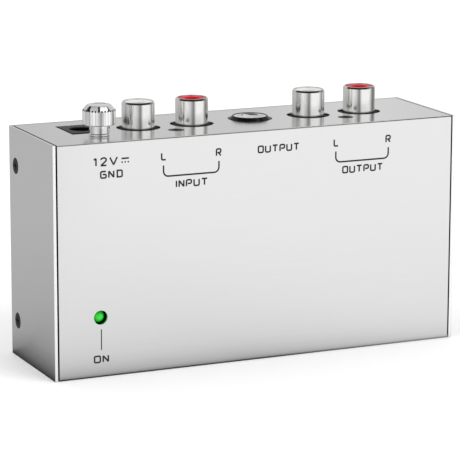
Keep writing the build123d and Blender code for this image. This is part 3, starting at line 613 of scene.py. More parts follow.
def plated(name, base, rough, rings, spread):
    """Bright plated metal over turned work, whose fine marks run round the upright axis."""
    material, tree, shader, place = new_finish(name, base, rough, 1.0, Anisotropic=spread)
    facing = add(tree, "NewGeometry").outputs["Normal"]
    around = arrow(tree, "CROSS_PRODUCT", (0.0, 0.0, 1.0), facing)
    tree.links.new(arrow(tree, "CROSS_PRODUCT", facing, around), shader.inputs["Tangent"])
    marks = use(tree, lathe_rings, place)
    vary_colour(tree, shader, use(tree, handling_mottle, place, Scale=260.0), shade(base, 0.93), base)
    vary_roughness(tree, shader, marks, rough * 0.7, rough * 1.4)
    add_bump(tree, shader, marks, rings, 0.6)
    return material


def stamped(name, base, rough):
    """Plain stamped or drawn metal, dull and slightly uneven."""
    material, tree, shader, place = new_finish(name, base, rough, 1.0)
    mottle = use(tree, handling_mottle, place, Scale=900.0)
    vary_colour(tree, shader, mottle, shade(base, 0.85), base)
    vary_roughness(tree, shader, mottle, rough - 0.08, rough + 0.1)
    add_bump(tree, shader, mottle, 0.004, 0.4)
    return material


# ---- plastic and other finishes
def moulded(name, base, rough, grain=0.006, scale=7000.0, **values):
    """Moulded plastic or rubber with a fine grain."""
    material, tree, shader, place = new_finish(name, base, rough, **values)
    mottle = use(tree, handling_mottle, place, Scale=400.0)
    vary_colour(tree, shader, mottle, shade(base, 0.88), base)
    vary_roughness(tree, shader, mottle, rough - 0.04, rough + 0.05)
    add_bump(tree, shader, use(tree, moulded_grain, place, Scale=scale), grain, 0.5)
    return material


def socket_moulding_with_painted_shade():
    """Dark grey moulding of the DC socket, with painted shade: near black below its face, where the opening lies in
    shade.
    """
    grey = (0.07, 0.07, 0.071)
    material, tree, shader, place = new_finish("socket_plastic", grey, 0.5, Specular_IOR_Level=0.03)
    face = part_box("dc_socket_body")[1].z
    above_painted_shade = mapped(tree, axes(tree, place)["Z"], face - socket_shade_full, face - socket_shade_start)
    # Painted shade: the moulding fades to near black below its face
    vary_colour(tree, shader, above_painted_shade, (0.003, 0.003, 0.003), grey)
    add_bump(tree, shader, use(tree, moulded_grain, place), 0.006, 0.5)
    return material


def printed_ink():
    """Dark screen-printed ink, thin and a little uneven."""
    material, tree, shader, place = new_finish("printed_ink", (0.02, 0.02, 0.021), 0.6, Specular_IOR_Level=0.2)
    mottle = use(tree, handling_mottle, place, Scale=2500.0)
    vary_colour(tree, shader, mottle, (0.016, 0.016, 0.017), (0.028, 0.028, 0.03))
    add_bump(tree, shader, mottle, 0.003, 0.5)
    return material


def light_epoxy():
    """Tinted green epoxy of the power light, brighter over the lit die; the glow's centre sits low and to the left,
    so its dimmer upper right is painted shade from the hole's rim.
    """
    material, tree, shader, place = new_finish(
        "light_epoxy", (0.012, 0.32, 0.02), 0.12, Coat_Weight=1.0, Coat_Roughness=0.04, Emission_Strength=0.55
    )
    # The lit die's glow, moved off centre so that its dim side paints the rim's shade
    x, _, z = axes(tree, arrow(tree, "SUBTRACT", place, tuple(light_centre + glow_offset_for_painted_shade)))
    reach = arrow(tree, "LENGTH", combined(tree, X=x, Z=z))
    glow = mapped(tree, reach, 1.5 * light_radius, 0.0, interpolation_type="SMOOTHSTEP")
    vary_colour(tree, shader, glow, (0.002, 0.17, 0.006), (0.004, 0.32, 0.012))
    vary_colour(tree, shader, glow, (0.0, 0.26, 0.01), (0.01, 0.78, 0.03), "Emission Color")
    return material


def circuit_mask():
    """Green solder mask, paler over the tracks."""
    material, tree, shader, place = new_finish("circuit_mask", (0.01, 0.12, 0.04), 0.35, Coat_Weight=0.3)
    x, _, z = axes(tree, place)
    black, white = (0, 0, 0, 1), (1, 1, 1, 1)
    track = add(tree, "TexBrick", {
        "Vector": combined(tree, X=x, Y=z), "Scale": 130.0, "Mortar Size": 0.06, "Mortar Smooth": 0.3, "Bias": 0.0,
        "Brick Width": 0.9, "Row Height": 0.32, "Color1": black, "Color2": black, "Mortar": white,
    }).outputs["Fac"]
    vary_colour(tree, shader, track, (0.008, 0.10, 0.035), (0.02, 0.20, 0.07))
    vary_roughness(tree, shader, track, 0.4, 0.3)
    add_bump(tree, shader, track, 0.03, 0.5)
    return material


def sleeved_can():
    """Shrunk capacitor sleeve with pale stripes."""
    material, tree, shader, place = new_finish("sleeved_can", (0.015, 0.02, 0.07), 0.3)
    wave = number(tree, "SINE", number(tree, "MULTIPLY", axes(tree, place)["X"], 900.0))
    vary_colour(tree, shader, mapped(tree, wave, 0.93, 0.96), (0.012, 0.018, 0.06), (0.45, 0.5, 0.6))
    add_bump(tree, shader, use(tree, handling_mottle, place, Scale=800.0), 0.01, 0.4)
    return material


def banded_resistor():
    """Pale blue lacquer with colour bands along the resistors' shared length."""
    lacquer = (0.16, 0.36, 0.50)
    material, tree, shader, place = new_finish("banded_resistor", lacquer, 0.35)
    low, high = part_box("resistors")
    along = mapped(tree, axes(tree, place)["Z"], low.z, high.z)
    brown, black, red, gold = (0.25, 0.08, 0.02), (0.01, 0.01, 0.01), (0.45, 0.02, 0.02), (0.5, 0.3, 0.05)
    bands = [(0.0, lacquer)]
    for start, colour in ((0.14, brown), (0.34, black), (0.50, red), (0.80, gold)):
        bands += [(start, colour), (start + 0.08, lacquer)]
    colours = colour_ramp(tree, along, bands, "CONSTANT")
    tree.links.new(colours, shader.inputs["Base Color"])
    add_bump(tree, shader, use(tree, handling_mottle, place, Scale=1500.0), 0.01, 0.4)
    return material


label_metal = brushed_case("label_metal", (0.84, 0.84, 0.838), 0.17, False)
rear_metal = brushed_case("rear_metal", (0.80, 0.80, 0.798), 0.17, True)
cut_edge = cut_metal("cut_edge", (0.97, 0.97, 0.97), 0.4)
bright_nickel = plated("bright_nickel", (0.93, 0.925, 0.91), 0.12, 0.0002, 0.95)
bright_chrome = plated("bright_chrome", (0.97, 0.97, 0.975), 0.09, 0.0001, 0.9)
spring_brass = stamped("spring_brass", (0.72, 0.60, 0.34), 0.3)
zinc_steel = stamped("zinc_steel", (0.55, 0.55, 0.57), 0.35)
tinned_copper = stamped("tinned_copper", (0.62, 0.62, 0.63), 0.28)
# Near-black finish that paints shade into the notches of the thumb nut's knurl
painted_notch_shade = moulded("painted_notch_shade", (0.012, 0.012, 0.012), 0.6, 0.003, Specular_IOR_Level=0.1)
black_oxide = moulded("black_oxide", (0.014, 0.014, 0.015), 0.36, 0.004, 5000.0, Specular_IOR_Level=0.1)
white_plastic = moulded("white_plastic", (0.80, 0.80, 0.79), 0.32, 0.003)
red_plastic = moulded("red_plastic", (0.60, 0.008, 0.02), 0.35, 0.003, Specular_IOR_Level=0.2)
jack_plastic = moulded("jack_plastic", (0.005, 0.005, 0.0055), 0.1, 0.0003, Specular_IOR_Level=0.16)
block_plastic = moulded("block_plastic", (0.007, 0.007, 0.0075), 0.5, Specular_IOR_Level=0.06)
socket_plastic = socket_moulding_with_painted_shade()
nylon = moulded("nylon", (0.75, 0.74, 0.70), 0.4)
foot_rubber = moulded("foot_rubber", (0.022, 0.022, 0.023), 0.7, 0.02, 4000.0)
chip_epoxy = moulded("chip_epoxy", (0.018, 0.018, 0.02), 0.5, 0.01, 5000.0)
dipped_film = moulded("dipped_film", (0.35, 0.035, 0.02), 0.22, 0.02, 900.0, Coat_Weight=0.5)
dipped_disc = moulded("dipped_disc", (0.55, 0.26, 0.06), 0.4, 0.02, 1200.0)
wire_plastic = moulded("wire_plastic", (0.02, 0.16, 0.05), 0.35, 0.004, 3000.0)
ink = printed_ink()
green_light = light_epoxy()
board_mask = circuit_mask()
can_sleeve = sleeved_can()
resistor_lacquer = banded_resistor()


# ---- putting pieces on the frame
def hand_over(piece, material, slot, body="root", nodes=(), other=None, chosen=None):
    """Gives a finished piece its material and body, and the nodes that it stands for.

    Faces that pass the chosen test get the other material.
    """
    piece.data.materials.clear()
    piece.data.materials.append(material)
    if other:
        piece.data.materials.append(other)
        for face in piece.data.polygons:
            face.material_index = 1 if chosen(face) else 0
    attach(piece, body)
    if nodes:
        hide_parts(*nodes)
    return piece


def dress(names, material):
    """Gives CAD nodes their finish."""
    for name in names:
        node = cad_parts[name]
        for slot in node.material_slots:
            slot.material = material


# ---- case
def case_screw_places():
    """Places of the case screws' head tops."""
    low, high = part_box("case_screws")
    head, y = (high.y - low.y) / 2, (low.y + high.y) / 2
    return [seat(x, y, z, turn) for x, turn in ((low.x, out_of_left), (high.x, out_of_right))
            for z in (low.z + head, high.z - head)]


def rear_screw_places():
    """Places of the rear screws' head undersides."""
    low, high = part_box("rear_screws")
    head, z = (high.z - low.z) / 2, (low.z + high.z) / 2
    return [seat(x, case_high.y, z, out_of_rear) for x in (low.x + head, high.x - head)]


def foot_places():
    """Places of the four feet on the rear face."""
    low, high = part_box("rubber_feet")
    return [seat(x, low.y, z, out_of_rear) for x in (low.x + foot_radius, high.x - foot_radius)
            for z in (low.z + foot_radius, high.z - foot_radius)]


def round_edges(piece, test, radius, steps):
    """Rounds the edges that pass a test."""
    return edit(piece, "EDGE", test, bpy.ops.mesh.bevel, offset=radius, segments=steps, profile=0.5)


def folded_sheet(name, low, high, open_sides, bend_edges, bend):
    """Block opened on some sides, given the sheet's thickness and rounded along its bends."""
    def is_open(face):
        return any(face.normal.dot(side) > 0.9 for side in open_sides)

    shell = edit(block(name, low, high), "FACE", is_open, bpy.ops.mesh.delete, type="ONLY_FACE")
    apply(shell, "SOLIDIFY", thickness=sheet, offset=-1, use_even_offset=True)
    return round_edges(shell, bend_edges, bend, bend_steps)


def long_edge(axis, end_test):
    """A test for edges that run along an axis (0 for X, 2 for Z) and whose two ends pass a test."""
    def test(edge):
        start, end = (vertex.co for vertex in edge.verts)
        return abs(start[axis] - end[axis]) > sheet and end_test(start) and end_test(end)

    return test


def on_panel(node):
    """The place above a node's centre on the connector panel's outside."""
    return Vector((*middle(node).xy, panel_top))


def panel_openings():
    """Cutters for every opening in the connector panel, and for the power light's hole."""
    reach = 4 * sheet
    nose_y = jack_low.y + half_width("output_jack_sleeve")
    cutters = [drill((jack_axis.x, nose_y, panel_top), nose_radius + jack_gap, reach)]
    for module in phono_modules:
        for side in phono_sides:
            cutters.append(drill(on_panel(f"{module}_{side}_insulator"), phono_hole_radius, reach))
        screw = f"{module}_block_screw"
        head, place = half_width(screw), Matrix.Translation(on_panel(screw))
        cutters.append(countersink(head + countersink_gap, head * shank_share, flush_depth, place))
    cutters.append(drill(on_panel("ground_captive_washer"), stud_radius + ground_hole_gap, reach))
    light_hole = (light_centre.x, label_low.y, light_centre.z)
    cutters.append(drill(light_hole, light_hole_radius, reach, out_of_label))
    low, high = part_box("dc_socket_body")
    cutters.append(block("dc_opening", (low.x - dc_side_gap, low.y - dc_front_gap, panel_top - 2 * sheet),
                         (high.x + dc_side_gap, high.y + dc_rear_gap, panel_top + 2 * sheet)))
    return cutters


def label_cover():
    """Folded front, connector panel and foot panel, with every opening and the four ears."""
    middle_height = (label_low.z + label_high.z) / 2

    def at_front_bend(end):
        return end.y < label_low.y + sheet_edge and abs(end.z - middle_height) > middle_height - sheet_edge

    open_sides = (Vector((-1, 0, 0)), Vector((1, 0, 0)), Vector((0, 1, 0)))
    cover = folded_sheet("label_cover", label_low, label_high, open_sides, long_edge(0, at_front_bend), label_bend)
    for cutter in panel_openings():
        combine(cover, cutter, "DIFFERENCE")
    ears = [
        block("ear", (x, label_high.y - ear_width, z), (x + sheet, label_high.y, z + ear_drop))
        for x in (label_low.x, label_high.x - sheet) for z in (sheet, panel_top - sheet - ear_drop)
    ]
    return soften(join("label_cover", [cover] + ears), sheet_edge)


def rear_cover():
    """Folded rear face and both ends, with the screws' holes."""
    def at_side(end):
        return abs(end.x) > case_high.x - sheet_edge

    rear_fold = long_edge(2, lambda end: end.y > case_high.y - sheet_edge and at_side(end))
    front_corner = long_edge(2, lambda end: end.y < case_low.y + sheet_edge and at_side(end))
    open_sides = (Vector((0, 0, -1)), Vector((0, 0, 1)), Vector((0, -1, 0)))
    cover = folded_sheet("rear_cover", case_low, case_high, open_sides, rear_fold, rear_bend)
    round_edges(cover, front_corner, outer_edge, edge_steps)
    for place in case_screw_places():
        cutter = countersink(case_head + countersink_gap, case_head * shank_share, flush_depth, place)
        combine(cover, cutter, "DIFFERENCE")
    for place in rear_screw_places():
        combine(cover, drill(place.translation, rear_hole_radius, 4 * sheet, out_of_rear), "DIFFERENCE")
    return soften(cover, sheet_edge)


def cross_cutter(head, depth):
    """Cross-shaped cutter that narrows towards its bottom."""
    arms = []
    half_arm, half_slot = head * screw_recess_arm / 2, head * screw_recess_slot / 2
    for turn in (0, pi / 2):
        arm = block("arm", (-half_arm, -half_slot, -depth), (half_arm, half_slot, depth))
        edit(arm, "FACE", lambda face: face.normal.z < -0.9, bpy.ops.transform.resize,
             value=screw_recess_taper, center_override=(0, 0, -depth))
        arms.append(stand(arm, 0, 0, 0, Matrix.Rotation(turn, 4, "Z")))
    return combine(arms[0], arms[1], "UNION")


def cross_head(name, corners, steps, head, depth, top=0.0):
    """Turned screw with a cross-shaped recess in its head."""
    screw = combine(turned(name, corners, steps), stand(cross_cutter(head, depth), 0, 0, top), "DIFFERENCE")
    return soften(screw, screw_edge, 2, 40)


def flush_screw(name, head, length):
    """Countersunk cross-head screw, its head top at the origin."""
    shank = head * shank_share * shank_slack
    corners = [
        (shank * shank_point, -length), (shank, -length + shank * shank_point_length), (shank, -flush_depth),
        (head, -screw_rim), (head, 0, screw_edge), (head * flat_middle, 0),
    ]
    return cross_head(name, corners, 48, head, flush_depth * screw_recess_depth)


def domed_screw(name, head, height, length):
    """Pan-head cross-head screw, its head's underside at the origin."""
    shank = head * shank_share
    corners = [
        (shank * shank_point, -length), (shank, -length + shank * shank_point_length), (shank, 0), (head, 0),
        (head, height, height * screw_dome), (head * flat_middle, height),
    ]
    return cross_head(name, corners, 64, head, height * screw_recess_depth, height)


def rubber_foot(radius, height):
    """Round foot with a shallow dish in its face, standing on the origin."""
    dish, floor = radius * foot_dish_share, height - foot_dish_depth
    corners = [
        (radius * flat_middle, 0), (radius, 0), (radius, height, foot_edge), (dish, height, foot_edge / 3),
        (dish - foot_dish_depth, floor, foot_edge / 3), (dish * flat_middle, floor),
    ]
    return smooth(turned("foot", corners, 72), 40)


def label_sheared(face):
    """Faces at the label shell's cut rear edges."""
    return face.normal.y > 0.5 and face.center.y > label_high.y - sheet_edge


def rear_sheared(face):
    """Faces at the rear shell's cut front edges."""
    return face.normal.y < -0.8 and face.center.y < case_low.y + sheet_edge


screw_low, screw_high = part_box("case_screws")
case_head = (screw_high.y - screw_low.y) / 2
hand_over(label_cover(), label_metal, "case_aluminium", nodes=["label_shell"], other=cut_edge, chosen=label_sheared)
hand_over(rear_cover(), rear_metal, "case_aluminium", nodes=["rear_shell"], other=cut_edge, chosen=rear_sheared)

case_screw = flush_screw("case_screw", case_head, case_screw_length)
case_screw_set = copies("case_screw_set", case_screw, case_screw_places())
hand_over(case_screw_set, black_oxide, "black_screw", nodes=["case_screws"])

rear_low, rear_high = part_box("rear_screws")
rear_head = (rear_high.z - rear_low.z) / 2
rear_screw = domed_screw("rear_screw", rear_head, rear_high.y - case_high.y, case_high.y - rear_low.y)
rear_screw_set = copies("rear_screw_set", rear_screw, rear_screw_places())
hand_over(rear_screw_set, black_oxide, "black_screw", nodes=["rear_screws"])

feet_low, feet_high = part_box("rubber_feet")
feet = copies("rubber_foot_set", rubber_foot(foot_radius, feet_high.y - feet_low.y), foot_places())
hand_over(feet, foot_rubber, "foot_rubber", nodes=["rubber_feet"])


# ---- phono sockets
def barrel(name, bottom, top):
    """Turned barrel with a bevelled rim."""
    inner = barrel_radius - barrel_wall
    shank = barrel_radius - barrel_shank_step
    step = panel_top - barrel_shank_rise
    corners = [
        (inner, bottom), (shank, bottom), (shank, step), (barrel_radius, step, rim_round),
        (barrel_radius, top - barrel_lip_rise, barrel_lip_round),
        (barrel_radius - barrel_lip_inset, top, barrel_lip_round), (inner, top, barrel_lip_inset / 2),
    ]
    return smooth(turned(name, corners, 128, ring=True))


def insulator(name, bottom, top):
    """Insulating plug with a bevelled mouth."""
    radius = barrel_radius - barrel_wall - insulator_gap
    ledge = top - mouth_depth
    corners = [
        (mouth_radius, ledge), (contact_clearance, ledge), (contact_clearance, bottom), (radius, bottom),
        (radius, top, insulator_edge), (mouth_radius + mouth_chamfer, top, rim_round),
        (mouth_radius, top - mouth_chamfer, rim_round),
    ]
    return smooth(turned(name, corners, 96, ring=True), 25)


def solder_lug(node, piece_name):
    """Flat lug of a barrel, from its wall to behind the board."""
    low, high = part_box(node)
    centre = middle(node).x
    lug_z = panel_top - sheet - lug_below_panel
    wall = low.y + 2 * barrel_radius - barrel_wall
    front = (centre - lug_half_width, wall, lug_z - lug_half_thickness)
    return block(piece_name, front, (centre + lug_half_width, high.y, lug_z + lug_half_thickness))


for module in phono_modules:
    for side in phono_sides:
        stem = f"{module}_{side}"
        centre = middle(f"{stem}_insulator")
        low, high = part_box(f"{stem}_barrel")
        tube = stand(barrel(f"{stem}_tube", low.z, high.z), centre.x, centre.y)
        tube = join(f"{stem}_tube", [tube, soften(solder_lug(f"{stem}_barrel", "lug"), lug_edge)])
        hand_over(tube, bright_nickel, "bright_nickel", nodes=[f"{stem}_barrel"])
        low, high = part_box(f"{stem}_insulator")
        plug = stand(insulator(f"{stem}_plug", low.z, high.z), centre.x, centre.y)
        colour, slot = (white_plastic, "white_insulator") if side == "left" else (red_plastic, "red_insulator")
        hand_over(plug, colour, slot, nodes=[f"{stem}_insulator"])
    node = f"{module}_block_screw"
    low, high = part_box(node)
    screw = flush_screw(f"{module}_panel_screw", half_width(node), high.z - low.z)
    hand_over(stand(screw, *middle(node).xy, high.z), black_oxide, "black_screw", nodes=[node])


# ---- output jack's sleeve
def jack_sleeve(bottom, top):
    """Bright sleeve with a bevelled mouth just below the nose's rim, and its solder lug."""
    ring = top - jack_ring_drop
    corners = [
        (jack_bore_radius, bottom), (jack_sleeve_radius, bottom), (jack_sleeve_radius, ring, jack_edge),
        (jack_bore_radius + jack_mouth_bevel, ring, jack_edge),
        (jack_bore_radius, ring - jack_mouth_bevel, jack_edge),
    ]
    tube = stand(smooth(turned("jack_sleeve", corners, 128, ring=True), 30), *jack_axis)
    lug_z = top - jack_lug_below_top
    wall = jack_low.y + 2 * jack_sleeve_radius - lug_edge
    front = (jack_axis.x - lug_half_width, wall - sheet / 2, lug_z - lug_half_thickness)
    lug = block("sleeve_lug", front, (jack_axis.x + lug_half_width, jack_high.y, lug_z + lug_half_thickness))
    return join("jack_sleeve", [tube, soften(lug, lug_edge)])


def jack_lining(face):
    """Faces inside the sleeve, worn dull by the plug."""
    reach = (face.center.xy - jack_axis).length
    return reach < jack_bore_radius + jack_edge and face.center.z < jack_high.z - jack_ring_drop - jack_mouth_bevel


hand_over(jack_sleeve(jack_low.z, jack_high.z), bright_chrome, "bright_chrome", "root", ["output_jack_sleeve"],
          cut_edge, jack_lining)


# ---- ground terminal
def thumb_nut(bottom, neck_bottom, top):
    """Knurled thumb nut with its neck, spigot, crown and blind bore."""
    head_bottom = panel_top + nut_head_rise
    root = nut_head - knurl_depth
    knurl_top = top - nut_crown
    dish = top - nut_dish_depth
    corners = [
        (nut_bore, top - nut_roof), (nut_bore, bottom), (nut_spigot, bottom), (nut_spigot, neck_bottom),
        (nut_neck, neck_bottom, nut_neck_foot), (nut_neck, head_bottom, nut_neck_top), (nut_head_base, head_bottom),
        (root, head_bottom, knurl_foot_round), (nut_head, head_bottom + knurl_run_out),
        (nut_head, knurl_top - knurl_notch), (nut_head, knurl_top),
        (root, knurl_top + knurl_depth * nut_crown / nut_crown_inset),
        (nut_head - nut_crown_inset, top, nut_crown_round), (nut_dish_radius, top, nut_dish_round),
        (nut_dish_radius - nut_dish_depth, dish, nut_dish_round), (nut_bore * 0.5, dish),
    ]
    step_count = knurl_teeth * knurl_steps
    nut = turned("knurled_thumb_nut", corners, step_count)
    start_edit(nut)

    def draw_in(steps, upper, depth):
        """Pulls in some steps of every tooth, in the upper notch or in the groove below it."""
        def chosen(vertex):
            x, y, z = vertex.co
            at_rim = hypot(x, y) > nut_head - knurl_groove / 4
            at_step = round(atan2(y, x) / (2 * pi) * step_count) % knurl_steps in steps
            return at_rim and at_step and (z > knurl_top - knurl_notch / 2) == upper

        pick(nut, "VERT", chosen)
        share = (nut_head - depth) / nut_head
        bpy.ops.transform.resize(value=(share, share, 1), center_override=(0, 0, 0))

    draw_in((0,), False, knurl_groove)
    draw_in((0, 1, knurl_steps - 1), True, knurl_depth)
    bpy.ops.object.mode_set(mode="OBJECT")
    return smooth(nut, 28)


def threaded_stud(bottom, top):
    """Stud with a real helical thread, its shoulder and its pointed end."""
    core = stud_radius - thread_depth
    bpy.ops.mesh.primitive_plane_add(size=thread_depth)
    thread = bpy.context.object
    start_edit(thread)
    bpy.ops.mesh.select_all(action="SELECT")
    bpy.ops.mesh.merge(type="CENTER")
    bpy.ops.transform.translate(value=(core, 0, 0))
    rise = thread_pitch / 2 * thread_flanks
    flat = thread_pitch / 2 - rise
    for across, up in ((thread_depth, rise), (0, flat), (-thread_depth, rise), (0, flat)):
        bpy.ops.mesh.extrude_vertices_move(TRANSFORM_OT_translate={"value": (across, 0, up)})
    bpy.ops.object.mode_set(mode="OBJECT")
    turns = int((top - bottom - thread_pitch) / thread_pitch)
    apply(thread, "SCREW", axis="Z", angle=2 * pi, screw_offset=thread_pitch, iterations=turns,
          steps=thread_steps, render_steps=thread_steps, use_merge_vertices=True, merge_threshold=0.0001 * mm)
    start_edit(thread)
    close_up(thread)
    stand(thread, 0, 0, bottom + thread_pitch / 2)
    upper = core + thread_depth * stud_tip_fill
    tip = turned("stud_core", [
        (core * 0.5, bottom), (core, bottom + stud_point), (upper, top - thread_pitch * stud_tip_pitches),
        (upper, top - stud_point), (core - stud_point, top),
    ], 48)
    low, high = panel_top - 2 * sheet, panel_top - sheet
    shoulder = turned("stud_shoulder", [(core, low), (stud_shoulder, low), (stud_shoulder, high), (core, high)],
                      64, ring=True)
    return smooth(join("threaded_stud", [smooth(tip), smooth(thread), smooth(shoulder)]))


def captive_washer():
    """Flat washer with rounded rims."""
    outer = half_width("ground_captive_washer")
    inner, low, high = outer - washer_wall, washer_low.z, washer_high.z
    corners = [(radius, z, washer_edge) for radius, z in ((inner, low), (outer, low), (outer, high), (inner, high))]
    return smooth(turned("captive_washer", corners, 96, ring=True))


def knurl_shade_faces(face):
    """Faces in the notches where the knurl runs out under the crown, which get painted shade."""
    inner, outer = (share * knurl_depth for share in knurl_shadow)
    inset = nut_head - (face.center.xy - ground.xy).length
    rise = face.center.z - (nut_high.z - nut_crown)
    under = -knurl_notch < rise < 0 and inset > knurl_depth / 5
    return under or (0 <= rise < 2 * knurl_notch and inner < inset < outer)


nut = stand(thumb_nut(nut_low.z, washer_high.z, nut_high.z), *ground.xy)
# Chrome nut, with painted shade on the faces in its knurl's notches
hand_over(nut, bright_chrome, "bright_chrome", "ground_nut", ["ground_thumb_nut"], painted_notch_shade, knurl_shade_faces)
washer = stand(captive_washer(), *ground.xy)
hand_over(washer, bright_chrome, "bright_chrome", "ground_clamp", ["ground_captive_washer"])
stud_low, stud_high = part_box("ground_stud")
stud = stand(threaded_stud(stud_low.z, stud_high.z), *ground.xy)
hand_over(stud, bright_chrome, "bright_chrome", nodes=["ground_stud"])


# ---- power light
def power_light(front, back):
    """Domed light with its flange, pointing up from the origin."""
    flange_top, flange_radius = front - back + light_flange, half_width("led_lens")
    dome = [
        (light_radius * sin(turn), -light_radius * (1 - cos(turn)))
        for turn in (radians(angle) for angle in range(6, 91, 7))
    ]
    profile = dome + [(light_radius, flange_top), (flange_radius, flange_top), (flange_radius, front - back)]
    return smooth(turned("green_light", profile, 96), 50)


lamp_piece = power_light(light_low.y, light_high.y)
stand(lamp_piece, light_centre.x, light_low.y, light_centre.z, out_of_label)
hand_over(lamp_piece, green_light, "led_green", nodes=["led_lens"])


# ---- printed lettering
# Each letter is a few strokes on a grid where a capital is 1 high.
letters = {
    "1": (0.34, [[(0.0, 0.80), (0.22, 1.0), (0.22, 0.0)]]),
    "2": (0.56, [[(0.0, 0.76), (0.06, 0.92), (0.20, 1.0), (0.38, 1.0), (0.52, 0.90), (0.55, 0.72), (0.46, 0.52),
                  (0.0, 0.0), (0.56, 0.0)]]),
    "V": (0.72, [[(0.0, 1.0), (0.36, 0.0), (0.72, 1.0)]]),
    "G": (0.66, [[(0.64, 1.0), (0.0, 1.0), (0.0, 0.0), (0.66, 0.0), (0.66, 0.54), (0.24, 0.54)]]),
    "N": (0.60, [[(0.0, 0.0), (0.0, 1.0), (0.60, 0.0), (0.60, 1.0)]]),
    "D": (0.70, [[(0.10, 0.0), (0.10, 1.0)], [(0.0, 1.0), (0.70, 1.0), (0.70, 0.0), (0.0, 0.0)]]),
    "I": (0.0, [[(0.0, 0.0), (0.0, 1.0)]]),
    "P": (0.64, [[(0.0, 0.0), (0.0, 1.0), (0.64, 1.0), (0.64, 0.42), (0.16, 0.42)]]),
    "U": (0.66, [[(0.0, 1.0), (0.0, 0.0), (0.66, 0.0), (0.66, 1.0)]]),
    "T": (0.70, [[(0.0, 1.0), (0.70, 1.0)], [(0.35, 1.0), (0.35, 0.0)]]),
    "L": (0.58, [[(0.0, 1.0), (0.0, 0.0), (0.58, 0.0)]]),
    "R": (0.64, [[(0.0, 0.0), (0.0, 1.0), (0.64, 1.0), (0.64, 0.46), (0.16, 0.46)], [(0.30, 0.46), (0.64, 0.0)]]),
    "O": (0.68, [[(0.34, 1.0), (0.0, 1.0), (0.0, 0.0), (0.68, 0.0), (0.68, 1.0), (0.34, 1.0)]]),
}


def legs(points, index):
    """The two legs at a stroke's corner, pointing away from it."""
    before, here, after = (Vector(points[index + side]) for side in (-1, 0, 1))
    return before - here, after - here


def eased(points, radius):
    """A stroke with its corners rounded, but for the sharpest."""
    corners = list(points)
    for index in range(1, len(points) - 1):
        back, ahead = legs(points, index)
        half_angle = back.angle(ahead) / 2
        if half_angle > radians(sharpest_eased / 2):
            room = leg_share * min(back.length, ahead.length)
            corners[index] = (*points[index], min(radius, room * tan(half_angle)))
    return rounded(corners)


def cut_at_corners(points):
    """A stroke as several, cut at each of its sharp corners."""
    last = len(points) - 1
    sharp = [index for index in range(1, last) if pi - Vector.angle(*legs(points, index)) > radians(sharp_turn)]
    ends = [0, *sharp, last]
    return [points[start:end + 1] for start, end in zip(ends, ends[1:])]


def ink_lines(name, strokes, width=stroke):
    """Printed lines on the label face, along (x, z) strokes."""
    curve = bpy.data.curves.new(f"label_{name}", "CURVE")
    curve.dimensions = "3D"
    curve.bevel_depth = width / 2
    curve.bevel_resolution = 2
    curve.use_fill_caps = True
    for points in [part for points in strokes for part in cut_at_corners(points)]:
        spline = curve.splines.new("POLY")
        spline.points.add(len(points) - 1)
        for point, (x, z) in zip(spline.points, points):
            point.co = (x, 0, z, 1)
    lines = bpy.data.objects.new(f"label_{name}", curve)
    bpy.context.collection.objects.link(lines)
    select_only(lines)
    bpy.ops.object.convert(target="MESH")
    lines = bpy.context.object
    lines.scale.y = ink_thickness / width
    lines.location.y = label_low.y
    hand_over(smooth(settle(lines), 80), ink, "black_screw")


def word(name, text, left, right, baseline, height):
    """A word fitted between two places along X, on a baseline, all in millimetres."""
    total = sum(letters[letter][0] for letter in text) + letter_gap * (len(text) - 1)
    scale = ((right - left) * mm - stroke) / total
    rise = height * mm - stroke
    first, bottom = left * mm + stroke / 2, baseline * mm + stroke / 2
    strokes, start = [], 0.0
    for letter in text:
        width, lines = letters[letter]
        for points in lines:
            strokes.append([(first + (start + u) * scale, bottom + v * rise) for u, v in eased(points, letter_round)])
        start += width + letter_gap
    ink_lines(name, strokes)


def bracket(name, left, right, top):
    """Line that joins a left and a right letter, open at the top."""
    bottom = top - bracket_drop
    points = [(left, top), (left, bottom), (right, bottom), (right, top)]
    ink_lines(name, [eased(points, bracket_round)])


def direct_current_sign(name, left, right, upper, lower):
    """A long line over three short ones."""
    left, right = left + stroke / 2, right - stroke / 2
    dash = (right - left) * dash_share
    step = (right - left - dash) / 2
    dashes = [[(left + index * step, lower), (left + index * step + dash, lower)] for index in range(3)]
    ink_lines(name, [[(left, upper), (right, upper)], *dashes])


word("supply", "12V", -44.86, -38.30, 53.05, 2.28)
direct_current_sign("supply_sign", -37.60 * mm, -35.22 * mm, 54.65 * mm, 53.73 * mm)
word("ground", "GND", -43.05, -37.04, 49.95, 2.02)
word("jack", "OUTPUT", -0.80, 10.80, 53.15, text_height)
for module, left, right, baseline, left_x, right_x in (
    ("input", -23.04, -14.35, 46.17, -25.97, -11.45), ("output", 22.83, 34.50, 46.18, 21.30, 35.85),
):
    word(module, module.upper(), left, right, baseline, text_height)
    word(f"{module}_left", "L", left_x - 1.0, left_x + 0.5, 53.27, side_height)
    word(f"{module}_right", "R", right_x - 0.8, right_x + 0.78, 53.22, side_height)
    bracket(f"{module}_bracket", (left_x - 0.30) * mm, (right_x + 0.08) * mm, 52.08 * mm)
word("power", "ON", -45.11, -41.05, 3.65, text_height)
line_x = light_centre.x + 0.12 * mm
ink_lines("power_line", [[(line_x, 6.98 * mm), (line_x, 12.2 * mm)]], thin_stroke)


